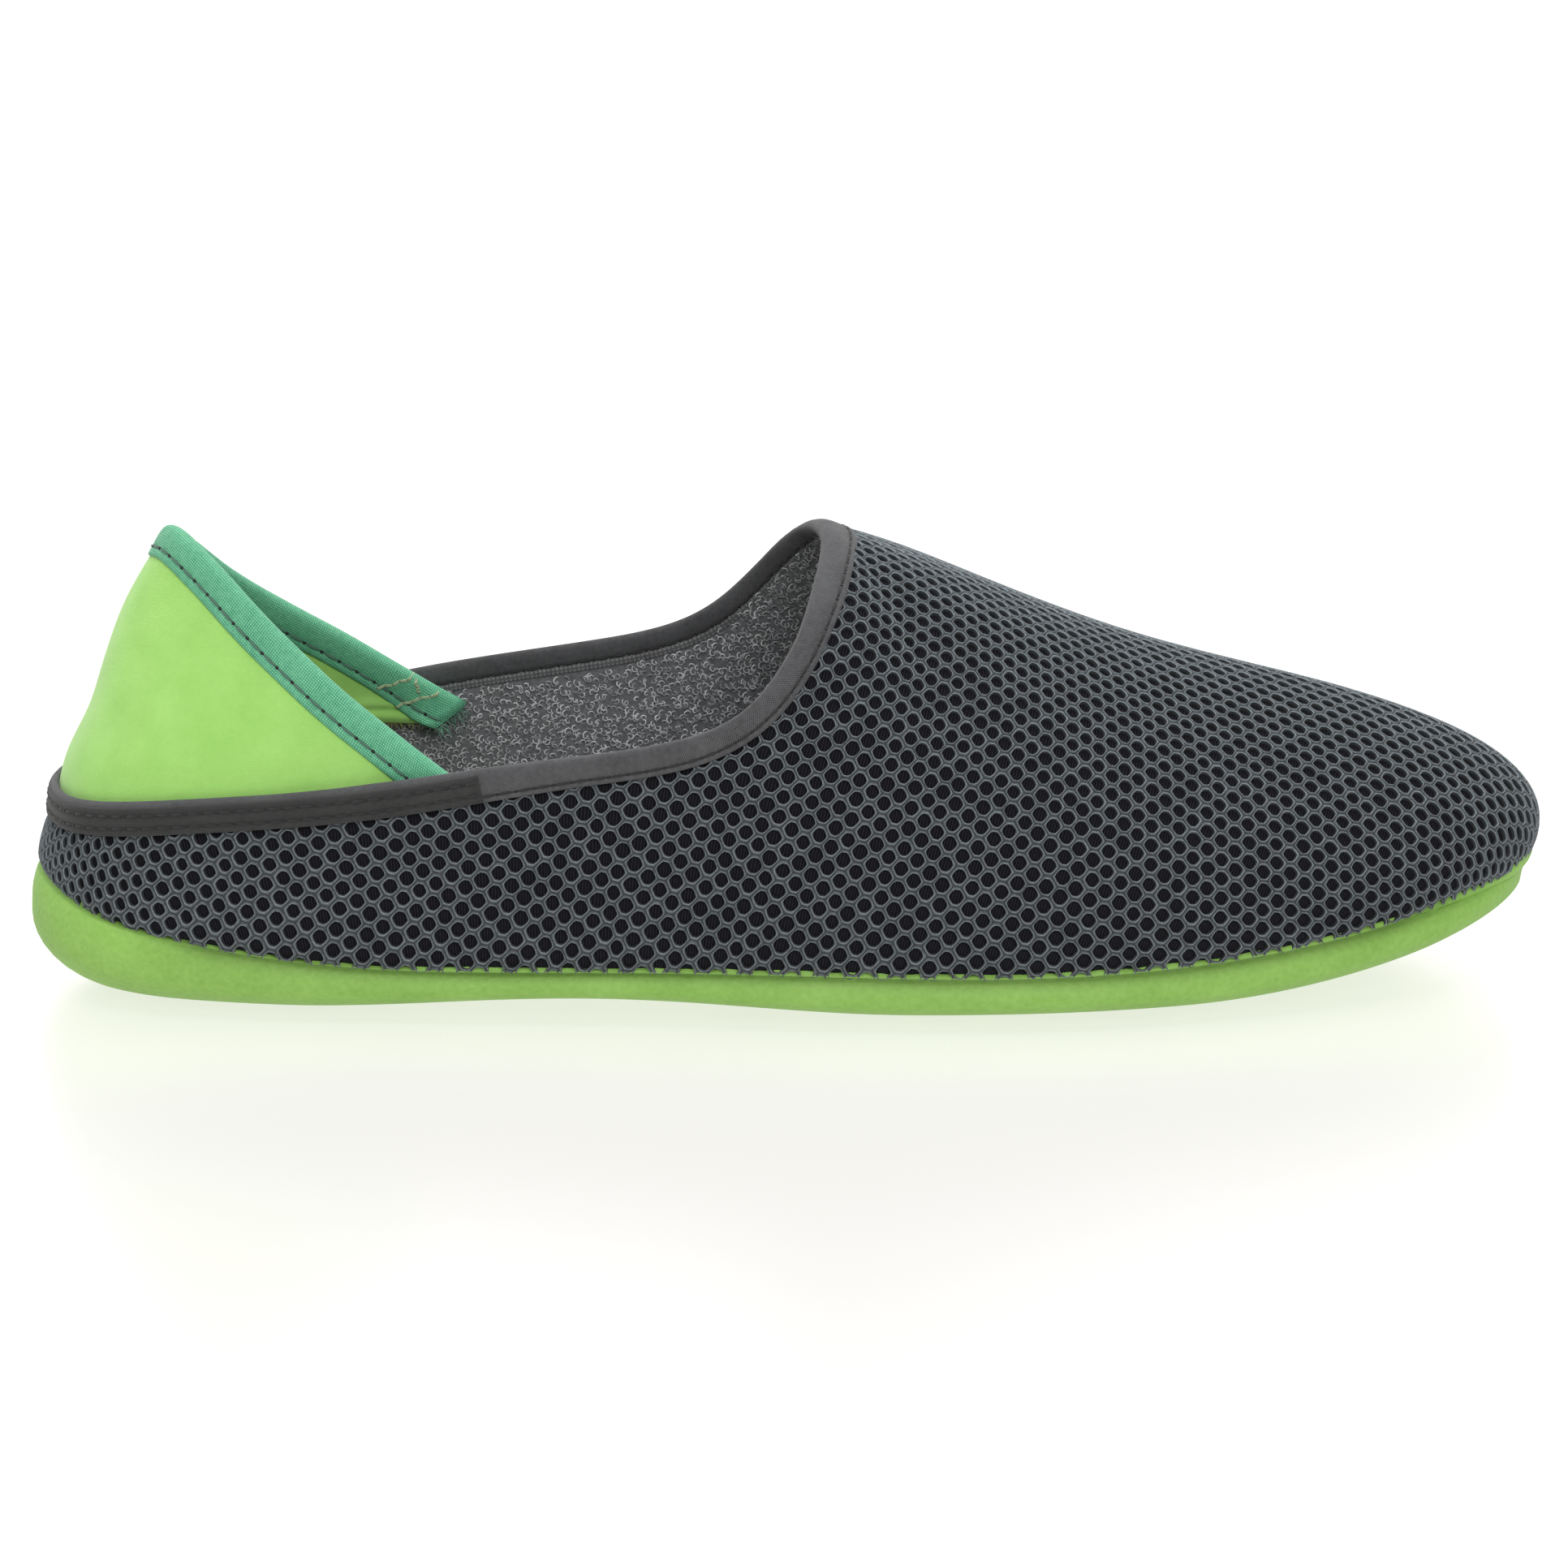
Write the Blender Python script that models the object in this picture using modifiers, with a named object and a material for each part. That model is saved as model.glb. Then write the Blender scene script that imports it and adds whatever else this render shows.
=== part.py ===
"""Mule slipper for the right foot.

A foam cup sole, a hollow mesh upper, folded tapes round the topline and a
stretch flap standing inside the heel.  Every piece is worked out from the
same ring of sections round the last.
"""
from collections import namedtuple
from math import cos, pi, radians, sin

import bmesh
import bpy
import numpy as np
from mathutils import Vector
from mathutils.bvhtree import BVHTree

MM = 0.001

# Driving dimensions in millimetres: the last's length, its width across the ball, the height of the
# throat at the instep and the height of the heel flap
LENGTH = 275.0
BALL_WIDTH = 88.0
INSTEP_HEIGHT = 82.7
FLAP_HEIGHT = 82.6

# Walls and the room between pieces
UPPER_WALL = 2.0
GAP = 0.3
INNER_GAP = 0.65

# Sole: flats, waist and toe spring along its length, then its edge and its cup
HEEL_FLAT_END = 46.0
BALL_FLAT_START = 156.0
BALL_FLAT_END = 204.0
WAIST_RISE = 2.6
TOE_SPRING = 13.2
TOE_SPRING_POWER = 2.0
HEEL_THICKNESS = 8.0
FOREFOOT_THICKNESS = 6.4
TOE_FLOOR_SHARE = 0.78
SIDE_BULGE = 1.2
WIDEST_SHARE = 0.62
SHOULDER_SHARE = 0.85
SHOULDER_BULGE = 0.75
RIM_START = 0.1
RIM_WIDTH = 3.4
CUP_DRAFT = 0.4

# Insole
INSOLE_THICKNESS = 3.6
INSOLE_CLEAR = 0.5
INSOLE_BEVEL = 1.4
INSOLE_BEVEL_START = 0.6

# Tapes
BINDING_THICKNESS = 0.6
BINDING_WIDTH = 5.6
TAPE_THICKNESS = 0.6
TAPE_WIDTH = 6.2
TAPE_END = 3.5
FOLD_DEPTH = 0.5
FLAP_BINDING_WIDTH = 6.4
FLAP_BINDING_SHARE = 0.8

# Heel flap: its ends are counted in sections from the heel back
FLAP_THICKNESS = 1.6
FLAP_CLEAR = 0.5
FLAP_END = 3.45
FLAP_END_START = 2.2
FLAP_END_RUN = 1.0
FLAP_END_SPARE = 1.2
FLAP_TUCK = 9.0
FLAP_END_TUCK = 14.0
FLAP_HOOK = 14.0
FLAP_ROOT_REACH = 0.40
FLAP_TIP_REACH = 0.36

# Points inside the shoe and in the middle of its mouth
INSIDE = (124.0, 0.0, 25.0)
MOUTH = (75.0, 0.0, 62.0)

# Mesh density
RIBS_PER_SECTION = 4
RIB_STEPS = 10
EDGE_STEPS = 4
LEG_ROWS = 3
FOLD_STEPS = 4
FLAP_STEPS = 8
SHEET_RIBS_PER_SECTION = 12
SHEET_ROWS = 61
NUDGE = 0.02
STATION_SPARE = 0.05
WELD = 0.01
SHARP_ANGLE = 50.0

# Foot line of the upper, heel to toe.  x is a per cent of the length, the half widths either side of
# the heel's centre line are per cents of the ball width.  In millimetres: the height where the sole's
# rim ends, how far the wall swells and climbs there, and how far in the sole's edge is rounded.
Section = namedtuple("Section", "name x lateral medial join swell rise edge")
SECTIONS = (
    Section("heel back", 0.36, 0.0, 0.0, 21.8, 0.5, 5.0, 17.5),
    Section("heel round", 3.09, -19.3, 19.3, 17.9, 0.8, 6.0, 16.5),
    Section("heel side", 10.91, -32.4, 31.8, 13.2, 1.0, 8.0, 17.0),
    Section("quarter", 23.27, -37.5, 34.7, 9.6, 1.6, 11.0, 18.0),
    Section("waist", 37.82, -41.6, 33.5, 9.6, 2.2, 14.0, 18.0),
    Section("instep corner", 47.64, -45.5, 36.9, 9.8, 2.6, 18.0, 20.0),
    Section("instep side", 53.45, -47.7, 41.5, 9.7, 3.0, 23.0, 21.5),
    Section("instep shoulder", 57.45, -48.8, 44.9, 9.6, 3.4, 29.0, 22.0),
    Section("instep", 61.09, -49.1, 47.7, 9.5, 4.0, 34.0, 22.5),
    Section("ball", 69.09, -47.3, 51.8, 9.6, 4.4, 30.0, 22.5),
    Section("forefoot", 77.82, -40.9, 52.5, 10.6, 4.8, 25.5, 20.5),
    Section("toe side", 87.27, -29.3, 47.7, 13.4, 5.4, 20.0, 16.5),
    Section("toe round", 94.91, -13.6, 34.7, 16.8, 7.2, 15.5, 12.0),
    Section("toe tip", 98.80, 10.2, 10.2, 17.6, 10.2, 13.5, 9.0),
)

# Cut edge of the upper at the collar, one row for each section from the heel to the instep: x, y and z
# as per cents of the length, ball width and instep height, then the wall's way down from the edge in
# millimetres: outwards, down and ahead.
Collar = namedtuple("Collar", "lateral_x lateral_y lateral_z medial_x medial_y medial_z reach drop ahead")
COLLAR = (
    Collar(1.38, 0.0, 44.0, 1.38, 0.0, 44.0, 0.0, 5.0, 0.0),
    Collar(3.13, -18.9, 43.3, 3.13, 18.9, 44.5, 0.2, 6.0, 0.0),
    Collar(10.73, -31.4, 45.7, 10.73, 30.2, 48.6, 0.4, 8.0, 0.0),
    Collar(22.91, -36.1, 49.8, 22.91, 32.0, 59.0, 0.8, 10.0, 0.0),
    Collar(36.36, -39.3, 57.6, 36.73, 34.5, 66.0, 1.4, 12.0, 0.5),
    Collar(46.18, -40.0, 67.5, 44.58, 35.5, 73.3, 3.0, 15.0, 3.0),
    Collar(49.89, -33.2, 82.5, 48.58, 28.6, 86.8, 7.0, 16.0, 5.0),
    Collar(51.56, -19.5, 94.3, 50.84, 15.5, 96.5, 14.2, 8.0, 9.0),
    Collar(52.07, 0.7, 100.0, 52.07, 0.7, 100.0, 0.0, 0.0, 0.0),
)

# Ridge of the vamp from the throat to the toe: its line as per cents of the length, ball width and
# instep height, and how many degrees each rib turns towards the toe and how far it reaches out there.
Ridge = namedtuple("Ridge", "x y z turn reach")
RIDGE = (
    Ridge(52.07, 0.7, 100.0, 30.0, 28.0),
    Ridge(60.73, 3.6, 88.9, 36.0, 30.0),
    Ridge(69.82, 6.1, 76.7, 43.0, 27.0),
    Ridge(77.82, 8.0, 68.5, 52.0, 26.0),
    Ridge(83.64, 9.1, 63.4, 70.0, 26.0),
    Ridge(86.91, 9.8, 60.2, 90.0, 29.5),
)

# Free edge of the heel flap, at places round the ring counted from the heel back: x and z as per cents
# of the length and the flap's height.  The share narrows it from the flap's width at the collar, and
# the lift raises the medial half by millimetres.
FlapEdge = namedtuple("FlapEdge", "place x share z medial_lift")
FLAP_EDGE = (
    FlapEdge(0.0, 9.38, 0.90, 100.0, 0.0),
    FlapEdge(0.5, 10.33, 0.90, 97.8, -1.4),
    FlapEdge(1.0, 12.58, 0.87, 90.6, -2.2),
    FlapEdge(1.6, 15.71, 0.86, 81.4, -1.6),
    FlapEdge(2.2, 19.49, 0.88, 71.2, 0.2),
    FlapEdge(2.8, 23.64, 0.91, 60.8, 1.8),
    FlapEdge(3.45, 28.36, 0.95, 48.7, 3.4),
)


class Spline:
    """Smooth cubic curve through rows of values at rising knots, open or closed."""

    def __init__(self, knots, values, closed=False):
        self.closed = closed
        self.knots = np.asarray(knots, float)
        points = np.asarray(values, float)
        self.points = np.vstack([points, points[:1]]) if closed else points
        count = len(points)
        step = np.diff(self.knots)
        rise = np.diff(self.points, axis=0) / step[:, None]
        system = np.zeros((count, count))
        target = np.zeros_like(points)
        for row in range(count):
            before = row - 1
            after = (row + 1) % count
            if not closed and row == 0:
                system[row, row] = 2.0
                system[row, after] = 1.0
                target[row] = 3.0 * rise[0]
            elif not closed and row == count - 1:
                system[row, row] = 2.0
                system[row, before] = 1.0
                target[row] = 3.0 * rise[-1]
            else:
                system[row, before] += 1.0 / step[before]
                system[row, row] += 2.0 / step[before] + 2.0 / step[row]
                system[row, after] += 1.0 / step[row]
                target[row] = 3.0 * (rise[before] / step[before] + rise[row] / step[row])
        slopes = np.linalg.solve(system, target)
        self.slopes = np.vstack([slopes, slopes[:1]]) if closed else slopes

    def __call__(self, at):
        at = np.atleast_1d(np.asarray(at, float))
        if self.closed:
            at = np.mod(at - self.knots[0], self.knots[-1] - self.knots[0]) + self.knots[0]
        left = np.clip(np.searchsorted(self.knots, at, side="right") - 1, 0, len(self.knots) - 2)
        span = (self.knots[left + 1] - self.knots[left])[:, None]
        share = (at - self.knots[left])[:, None] / span
        start, end = self.points[left], self.points[left + 1]
        leave, arrive = self.slopes[left] * span, self.slopes[left + 1] * span
        return (start * (1 + 2 * share) * (1 - share) ** 2 + leave * share * (1 - share) ** 2
                + end * share ** 2 * (3 - 2 * share) + arrive * share ** 2 * (share - 1))


def per_cent(x, y, z):
    """A point given in per cents of the length, the ball width and the instep height."""
    return np.array([x * LENGTH, y * BALL_WIDTH, z * INSTEP_HEIGHT]) / 100.0


def foot_row(row, half_width):
    """A point of the foot line, whose height is in millimetres."""
    return per_cent(row.x, half_width, 0.0) + np.array([0.0, 0.0, row.join])


def both_sides(lateral, medial):
    """Rows as one closed run: lateral side heel to toe, then the medial side back to the heel."""
    return np.vstack([lateral, medial[-2:0:-1]])


def unit(vectors):
    return vectors / np.linalg.norm(vectors, axis=-1, keepdims=True)


def run_of(points):
    """Distances along a run of points, from its first."""
    return np.concatenate([[0.0], np.cumsum(np.linalg.norm(np.diff(points, axis=0), axis=1))])


TOE = len(SECTIONS) - 1
THROAT = len(COLLAR) - 1
RING_PLACES = 2 * TOE
FOOT_LINE = both_sides([foot_row(row, row.lateral) for row in SECTIONS],
                       [foot_row(row, row.medial) for row in SECTIONS])
RING_KNOTS = run_of(np.vstack([FOOT_LINE, FOOT_LINE[:1]]))
FOOT_SPLINE = Spline(RING_KNOTS, FOOT_LINE, closed=True)
EDGE_WIDTHS = [(row.edge,) for row in SECTIONS]
EDGE_ROUND = Spline(RING_KNOTS, both_sides(EDGE_WIDTHS, EDGE_WIDTHS), closed=True)
COLLAR_LINE = both_sides([per_cent(row.lateral_x, row.lateral_y, row.lateral_z) for row in COLLAR],
                         [per_cent(row.medial_x, row.medial_y, row.medial_z) for row in COLLAR])
COLLAR_SPLINE = Spline(run_of(np.vstack([COLLAR_LINE, COLLAR_LINE[:1]])), COLLAR_LINE, closed=True)
RIDGE_LINE = np.array([per_cent(row.x, row.y, row.z) for row in RIDGE])
RIDGE_SPLINE = Spline(np.arange(len(RIDGE)), RIDGE_LINE)


def ring_knot(place):
    """Distance round the foot line at a place counted in sections, medial places being negative."""
    return np.interp(np.mod(place, RING_PLACES), np.arange(RING_PLACES + 1), RING_KNOTS)


def foot_point(place):
    return FOOT_SPLINE(ring_knot(place))


def outward(place):
    """Level direction out of the shoe, square to the foot line."""
    along = foot_point(np.asarray(place) + NUDGE) - foot_point(np.asarray(place) - NUDGE)
    return unit(np.stack([along[:, 1], -along[:, 0], np.zeros(len(along))], axis=1))


def top_point(place):
    """Where a rib ends: on the collar's cut edge behind the throat, on the vamp's ridge before it."""
    signed = np.mod(np.atleast_1d(place) + TOE, RING_PLACES) - TOE
    steps = np.abs(signed)
    loop = np.mod(np.where(steps <= THROAT, signed, 0.0), 2 * THROAT)
    on_collar = COLLAR_SPLINE(np.interp(loop, np.arange(2 * THROAT + 1), COLLAR_SPLINE.knots))
    on_ridge = RIDGE_SPLINE(np.clip(steps - THROAT, 0.0, len(RIDGE) - 1.0))
    return np.where((steps <= THROAT)[:, None], on_collar, on_ridge)


def foot_handles():
    """How each rib leaves the foot line, as one closed run of rows."""
    places = np.arange(RING_PLACES)
    rows = [SECTIONS[min(place, RING_PLACES - place)] for place in places]
    swell = np.array([row.swell for row in rows])[:, None]
    rise = np.array([row.rise for row in rows])[:, None]
    return outward(places) * swell + np.array([0.0, 0.0, 1.0]) * rise


def high_points():
    """Points that pull each rib outwards below the collar or beside the ridge, as one closed run."""
    ridge_way = unit(np.gradient(RIDGE_LINE, axis=0))
    points = []
    for place in range(RING_PLACES):
        steps = min(place, RING_PLACES - place)
        side = -1.0 if place <= TOE else 1.0
        if steps < THROAT:
            row = COLLAR[steps]
            pull = outward([place])[0] * row.reach + np.array([row.ahead, 0.0, -row.drop])
        else:
            row = RIDGE[steps - THROAT]
            turn = radians(row.turn)
            across = np.array([0.0, side, 0.0])
            pull = row.reach * (sin(turn) * ridge_way[steps - THROAT] + cos(turn) * across)
        points.append(top_point(place)[0] + pull)
    return np.array(points)


FOOT_HANDLES = Spline(RING_KNOTS, foot_handles(), closed=True)
HIGH_SPLINE = Spline(RING_KNOTS, high_points(), closed=True)
RIB_PLACES = np.arange(RING_PLACES * RIBS_PER_SECTION) / RIBS_PER_SECTION
COLLAR_PLACES = np.arange(-THROAT * RIBS_PER_SECTION, THROAT * RIBS_PER_SECTION) / RIBS_PER_SECTION


def rib(start, low, high, end, share):
    """Points on cubic curves between starts and ends, drawn towards two rows of pulling points."""
    rest = 1.0 - share
    return start * rest ** 3 + 3 * low * share * rest ** 2 + 3 * high * share ** 2 * rest + end * share ** 3


def upper_point(place, height):
    """Outer surface of the upper: place round the ring, height from 0 at the foot line to 1 at the top."""
    foot = foot_point(place)
    knot = ring_knot(place)
    return rib(foot, foot + FOOT_HANDLES(knot), HIGH_SPLINE(knot), top_point(place), height)


def loft_faces(rows, columns, closed):
    """Quads between neighbouring rows of a grid, joined round the columns where the loft is closed."""
    faces = []
    for row in range(rows - 1):
        for column in range(columns if closed else columns - 1):
            after = (column + 1) % columns
            faces.append((row * columns + column, row * columns + after,
                          (row + 1) * columns + after, (row + 1) * columns + column))
    return faces


def cap_faces(first, count):
    """Strips across a closed ring, from the lateral to the medial side."""
    faces = []
    for step in range(count // 2):
        near, far = first + step, first + (count - step) % count
        ahead_near, ahead_far = near + 1, first + count - step - 1
        corners = [near, ahead_near, ahead_far, far]
        faces.append(tuple(dict.fromkeys(corners)))
    return faces


class Sheet:
    """A surface to lay tapes on: a fine grid of points with a search tree over its faces."""

    def __init__(self, rows, closed, inside):
        self.inside = np.array(inside)
        self.tree = BVHTree.FromPolygons([tuple(point) for point in np.vstack(rows)],
                                         loft_faces(len(rows), len(rows[0]), closed))

    def nearest(self, points):
        """Closest points on the surface, with the directions out of the shoe there."""
        places, normals = [], []
        for point in points:
            place, normal, _, _ = self.tree.find_nearest(Vector(point))
            normal = np.array(normal)
            if np.dot(normal, np.array(place) - self.inside) < 0.0:
                normal = -normal
            places.append(np.array(place))
            normals.append(normal)
        return np.array(places), np.array(normals)


def upper_sheet():
    """Fine copy of the upper's outer surface, for the tapes to lie on."""
    places = np.arange(RING_PLACES * SHEET_RIBS_PER_SECTION) / SHEET_RIBS_PER_SECTION
    rows = [upper_point(places, height) for height in np.linspace(0.0, 1.0, SHEET_ROWS)]
    return Sheet(rows, True, INSIDE)


def sole_underside(x):
    """Height of the sole's underside: flat at heel and ball, raised at the waist and the toe."""
    waist = np.clip((x - HEEL_FLAT_END) / (BALL_FLAT_START - HEEL_FLAT_END), 0.0, 1.0)
    toe = np.clip((x - BALL_FLAT_END) / (LENGTH - BALL_FLAT_END), 0.0, 1.0)
    return WAIST_RISE * np.sin(pi * waist) ** 2 + TOE_SPRING * toe ** TOE_SPRING_POWER


def cup_floor(x):
    """Height of the floor inside the sole's cup."""
    waist = np.clip((x - HEEL_FLAT_END) / (BALL_FLAT_START - HEEL_FLAT_END), 0.0, 1.0)
    thickness = HEEL_THICKNESS + (FOREFOOT_THICKNESS - HEEL_THICKNESS) * waist
    return thickness + TOE_FLOOR_SHARE * sole_underside(np.maximum(x, BALL_FLAT_START))


def foot_ring(inset, height):
    """Closed ring of points set in from the foot line, at heights given by a function of the points."""
    ring = foot_point(RIB_PLACES) - outward(RIB_PLACES) * inset
    ring[:, 2] = height(ring)
    return ring


PART = bpy.data.collections.get("mule_slipper") or bpy.data.collections.new("mule_slipper")
Wall = namedtuple("Wall", "thickness side")
INWARD = -1.0
OUTWARD = 1.0


def material(name, colour, roughness):
    finish = bpy.data.materials.new(name)
    finish.use_nodes = True
    shader = finish.node_tree.nodes["Principled BSDF"]
    shader.inputs["Base Color"].default_value = (*colour, 1.0)
    shader.inputs["Roughness"].default_value = roughness
    shader.inputs["Metallic"].default_value = 0.0
    finish.diffuse_color = (*colour, 1.0)
    return finish


def add_piece(name, points, faces, finish, parent, wall=None):
    """One named object from points in millimetres, with a Solidify wall where the faces are a sheet."""
    mesh = bpy.data.meshes.new(name)
    mesh.from_pydata([tuple(point * MM) for point in points], [], faces)
    work = bmesh.new()
    work.from_mesh(mesh)
    bmesh.ops.remove_doubles(work, verts=work.verts, dist=WELD * MM)
    if not wall:
        bmesh.ops.recalc_face_normals(work, faces=work.faces)
    work.to_mesh(mesh)
    work.free()
    mesh.shade_smooth()
    mesh.set_sharp_from_angle(angle=radians(SHARP_ANGLE))
    piece = bpy.data.objects.new(name, mesh)
    piece.data.materials.append(finish)
    piece.parent = parent
    PART.objects.link(piece)
    if wall:
        shell = piece.modifiers.new("wall", "SOLIDIFY")
        shell.thickness = wall.thickness * MM
        shell.offset = wall.side
        shell.use_even_offset = True
        shell.use_quality_normals = True
    return piece


def add_ringed(name, rings, finish, parent):
    """A closed solid through rings, capped at the first and the last."""
    count = len(RIB_PLACES)
    faces = loft_faces(len(rings), count, True)
    faces += cap_faces(0, count)
    faces += cap_faces((len(rings) - 1) * count, count)
    return add_piece(name, np.vstack(rings), faces, finish, parent)


def make_outsole(parent):
    """Foam cup: rounded side from the flat underside to the rim, then down to the cup's floor."""
    rings = []
    edge = EDGE_ROUND(ring_knot(RIB_PLACES))
    join = foot_point(RIB_PLACES)[:, 2]

    def side(share):
        """Heights a share of the way up from the underside to the rim."""
        return lambda ring: sole_underside(ring[:, 0]) * (1.0 - share) + join * share

    for step in range(EDGE_STEPS + 1):
        turn = 0.5 * pi * step / EDGE_STEPS
        inset = edge - (edge + SIDE_BULGE) * sin(turn)
        rings.append(foot_ring(inset, side(WIDEST_SHARE * (1.0 - cos(turn)))))
    rings.append(foot_ring(-SHOULDER_BULGE, side(SHOULDER_SHARE)))
    rings.append(foot_ring(RIM_START, side(1.0)))
    rings.append(foot_ring(RIM_WIDTH, side(1.0)))
    rings.append(foot_ring(RIM_WIDTH + CUP_DRAFT, lambda ring: cup_floor(ring[:, 0])))
    return add_ringed("outsole", rings, material("lime foam", (0.25, 0.47, 0.09), 0.6), parent)


def make_upper(parent):
    """Hollow shell from the sole's rim to the collar and over the vamp's ridge."""
    lift = np.array([0.0, 0.0, GAP])
    rows = [upper_point(RIB_PLACES, height) + lift * (1.0 - height)
            for height in np.linspace(0.0, 1.0, RIB_STEPS + 1)]
    faces = loft_faces(len(rows), len(RIB_PLACES), True)
    finish = material("grey mesh", (0.08, 0.09, 0.10), 0.85)
    return add_piece("upper", np.vstack(rows), faces, finish, parent, Wall(UPPER_WALL, INWARD))


def make_insole(parent):
    """Footbed lying in the cup, its upper edge rounded."""
    inset = RIM_WIDTH + CUP_DRAFT + INSOLE_CLEAR

    def layer(thickness):
        """Heights above the cup's floor."""
        return lambda ring: cup_floor(ring[:, 0]) + GAP + thickness

    rings = [foot_ring(inset, layer(0.0)),
             foot_ring(inset, layer(INSOLE_BEVEL_START * INSOLE_THICKNESS)),
             foot_ring(inset + INSOLE_BEVEL, layer(INSOLE_THICKNESS))]
    return add_ringed("insole", rings, material("grey terry", (0.13, 0.13, 0.14), 0.95), parent)


def collar_run(end):
    """Stations round the heel from the medial to the lateral end, on the collar's own facets."""
    return np.concatenate([[-end], COLLAR_PLACES[np.abs(COLLAR_PLACES) < end - STATION_SPARE], [end]])


def edge_frames(sheet, edge, closed):
    """At each point of the collar's edge: the way out of the sheet, and the way down into the sheet."""
    if closed:
        along = np.roll(edge, -1, axis=0) - np.roll(edge, 1, axis=0)
    else:
        along = np.gradient(edge, axis=0)
    _, out = sheet.nearest(edge)
    into = unit(np.cross(out, unit(along)))
    turn = np.sign(np.sum(into * (edge - np.array(MOUTH)), axis=1))[:, None]
    return out, into * turn


def folded_tape(legs, edge, out, into, wall):
    """Inner face of a tape folded over an edge: up the outer leg, round the fold, down the inner leg.

    legs holds pairs of points and outward directions on the wall's outer face, from the tape's lower
    edge up to the wall's own edge.
    """
    half = 0.5 * wall + GAP
    rows = [place + normal * GAP for place, normal in legs]
    for fold in range(1, FOLD_STEPS):
        turn = pi * fold / FOLD_STEPS
        level = out * (half * cos(turn) - 0.5 * wall)
        rows.append(edge + level - into * (GAP + FOLD_DEPTH * half * sin(turn)))
    rows += [place - normal * (wall + INNER_GAP) for place, normal in reversed(legs)]
    return rows


def make_collar_binding(parent, sheet):
    """Twill tape folded over the whole collar edge."""
    edge = top_point(COLLAR_PLACES)
    out, into = edge_frames(sheet, edge, True)
    legs = [sheet.nearest(edge + into * depth) for depth in np.linspace(BINDING_WIDTH, 0.0, LEG_ROWS)]
    rows = folded_tape(legs, edge, out, into, UPPER_WALL)
    faces = loft_faces(len(rows), len(COLLAR_PLACES), True)
    finish = material("grey twill", (0.085, 0.085, 0.09), 0.8)
    wall = Wall(BINDING_THICKNESS, OUTWARD)
    return add_piece("collar_binding", np.vstack(rows), faces, finish, parent, wall)


def make_heel_tape(parent, sheet):
    """Second run of tape, over the binding's outer leg round the back of the heel."""
    places = collar_run(TAPE_END)
    edge = top_point(places)
    _, into = edge_frames(sheet, edge, False)
    rows = []
    for depth in np.linspace(TAPE_WIDTH, 0.0, LEG_ROWS):
        place, normal = sheet.nearest(edge + into * depth)
        rows.append(place + normal * (2.0 * GAP + BINDING_THICKNESS))
    faces = loft_faces(len(rows), len(places), False)
    finish = material("grey tape", (0.085, 0.085, 0.09), 0.8)
    return add_piece("heel_tape", np.vstack(rows), faces, finish, parent, Wall(TAPE_THICKNESS, OUTWARD))


def flap_edge_rows(rows, lifted):
    """Places along the flap's free edge, with its x, its share of the width and its height."""
    return [(row.x * LENGTH / 100.0, row.share, row.z * FLAP_HEIGHT / 100.0 + lifted * row.medial_lift)
            for row in rows]


FLAP_SPLINE = Spline([-row.place for row in FLAP_EDGE[:0:-1]] + [row.place for row in FLAP_EDGE],
                     flap_edge_rows(FLAP_EDGE[:0:-1], 1.0) + flap_edge_rows(FLAP_EDGE, 0.0))


def flap_rows(sheet, places, heights):
    """Outer face of the heel flap, as rows of points from its tucked foot to its free edge."""
    edge = top_point(places)
    _, into = edge_frames(sheet, edge, False)
    to_end = np.clip((np.abs(places) - FLAP_END_START) / FLAP_END_RUN, 0.0, 1.0)[:, None]
    clear = UPPER_WALL + INNER_GAP + BINDING_THICKNESS + FLAP_CLEAR + FLAP_END_SPARE * to_end
    tuck = FLAP_TUCK + (FLAP_END_TUCK - FLAP_TUCK) * to_end
    foot, foot_out = sheet.nearest(edge + into * tuck)
    foot = foot - foot_out * clear
    collar, collar_out = sheet.nearest(edge)
    collar = collar - collar_out * clear
    x, share, z = FLAP_SPLINE(places).T
    tip = np.stack([x, collar[:, 1] * share, z], axis=1)
    tall = np.linalg.norm(tip - foot, axis=1)[:, None]
    low = foot + unit(collar - foot) * tall * FLAP_ROOT_REACH
    hook = FLAP_HOOK * (1.0 - np.abs(places) / FLAP_END)
    high = tip - unit(tip - foot + np.outer(hook, (1.0, 0.0, 0.0))) * tall * FLAP_TIP_REACH
    return [rib(foot, low, high, tip, height) for height in heights]


def make_heel_flap(parent, sheet):
    """Stretch cloth standing inside the rear collar."""
    places = collar_run(FLAP_END)
    rows = flap_rows(sheet, places, np.linspace(0.0, 1.0, FLAP_STEPS + 1))
    faces = loft_faces(len(rows), len(places), False)
    finish = material("lime stretch", (0.37, 0.72, 0.16), 0.75)
    return add_piece("heel_flap", np.vstack(rows), faces, finish, parent, Wall(FLAP_THICKNESS, INWARD))


def flap_leg(columns, across, along, depth):
    """Points and outward directions on the flap's outer face, a depth below its free edge."""
    heights = np.linspace(0.0, 1.0, SHEET_ROWS)
    points, normals = [], []
    for column, sideways, way in zip(columns, across, along):
        run = run_of(column[::-1])
        slant = np.linalg.norm(np.cross(unit(column[-1] - column[-2]), way))
        down = min(depth / slant, FLAP_BINDING_SHARE * run[-1])
        level = np.interp(down, run, heights[::-1]) * (SHEET_ROWS - 1)
        index = min(int(level), SHEET_ROWS - 2)
        climb = column[index + 1] - column[index]
        points.append(column[index] + climb * (level - index))
        normals.append(np.cross(sideways[index], climb))
    return np.array(points), unit(np.array(normals))


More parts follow.
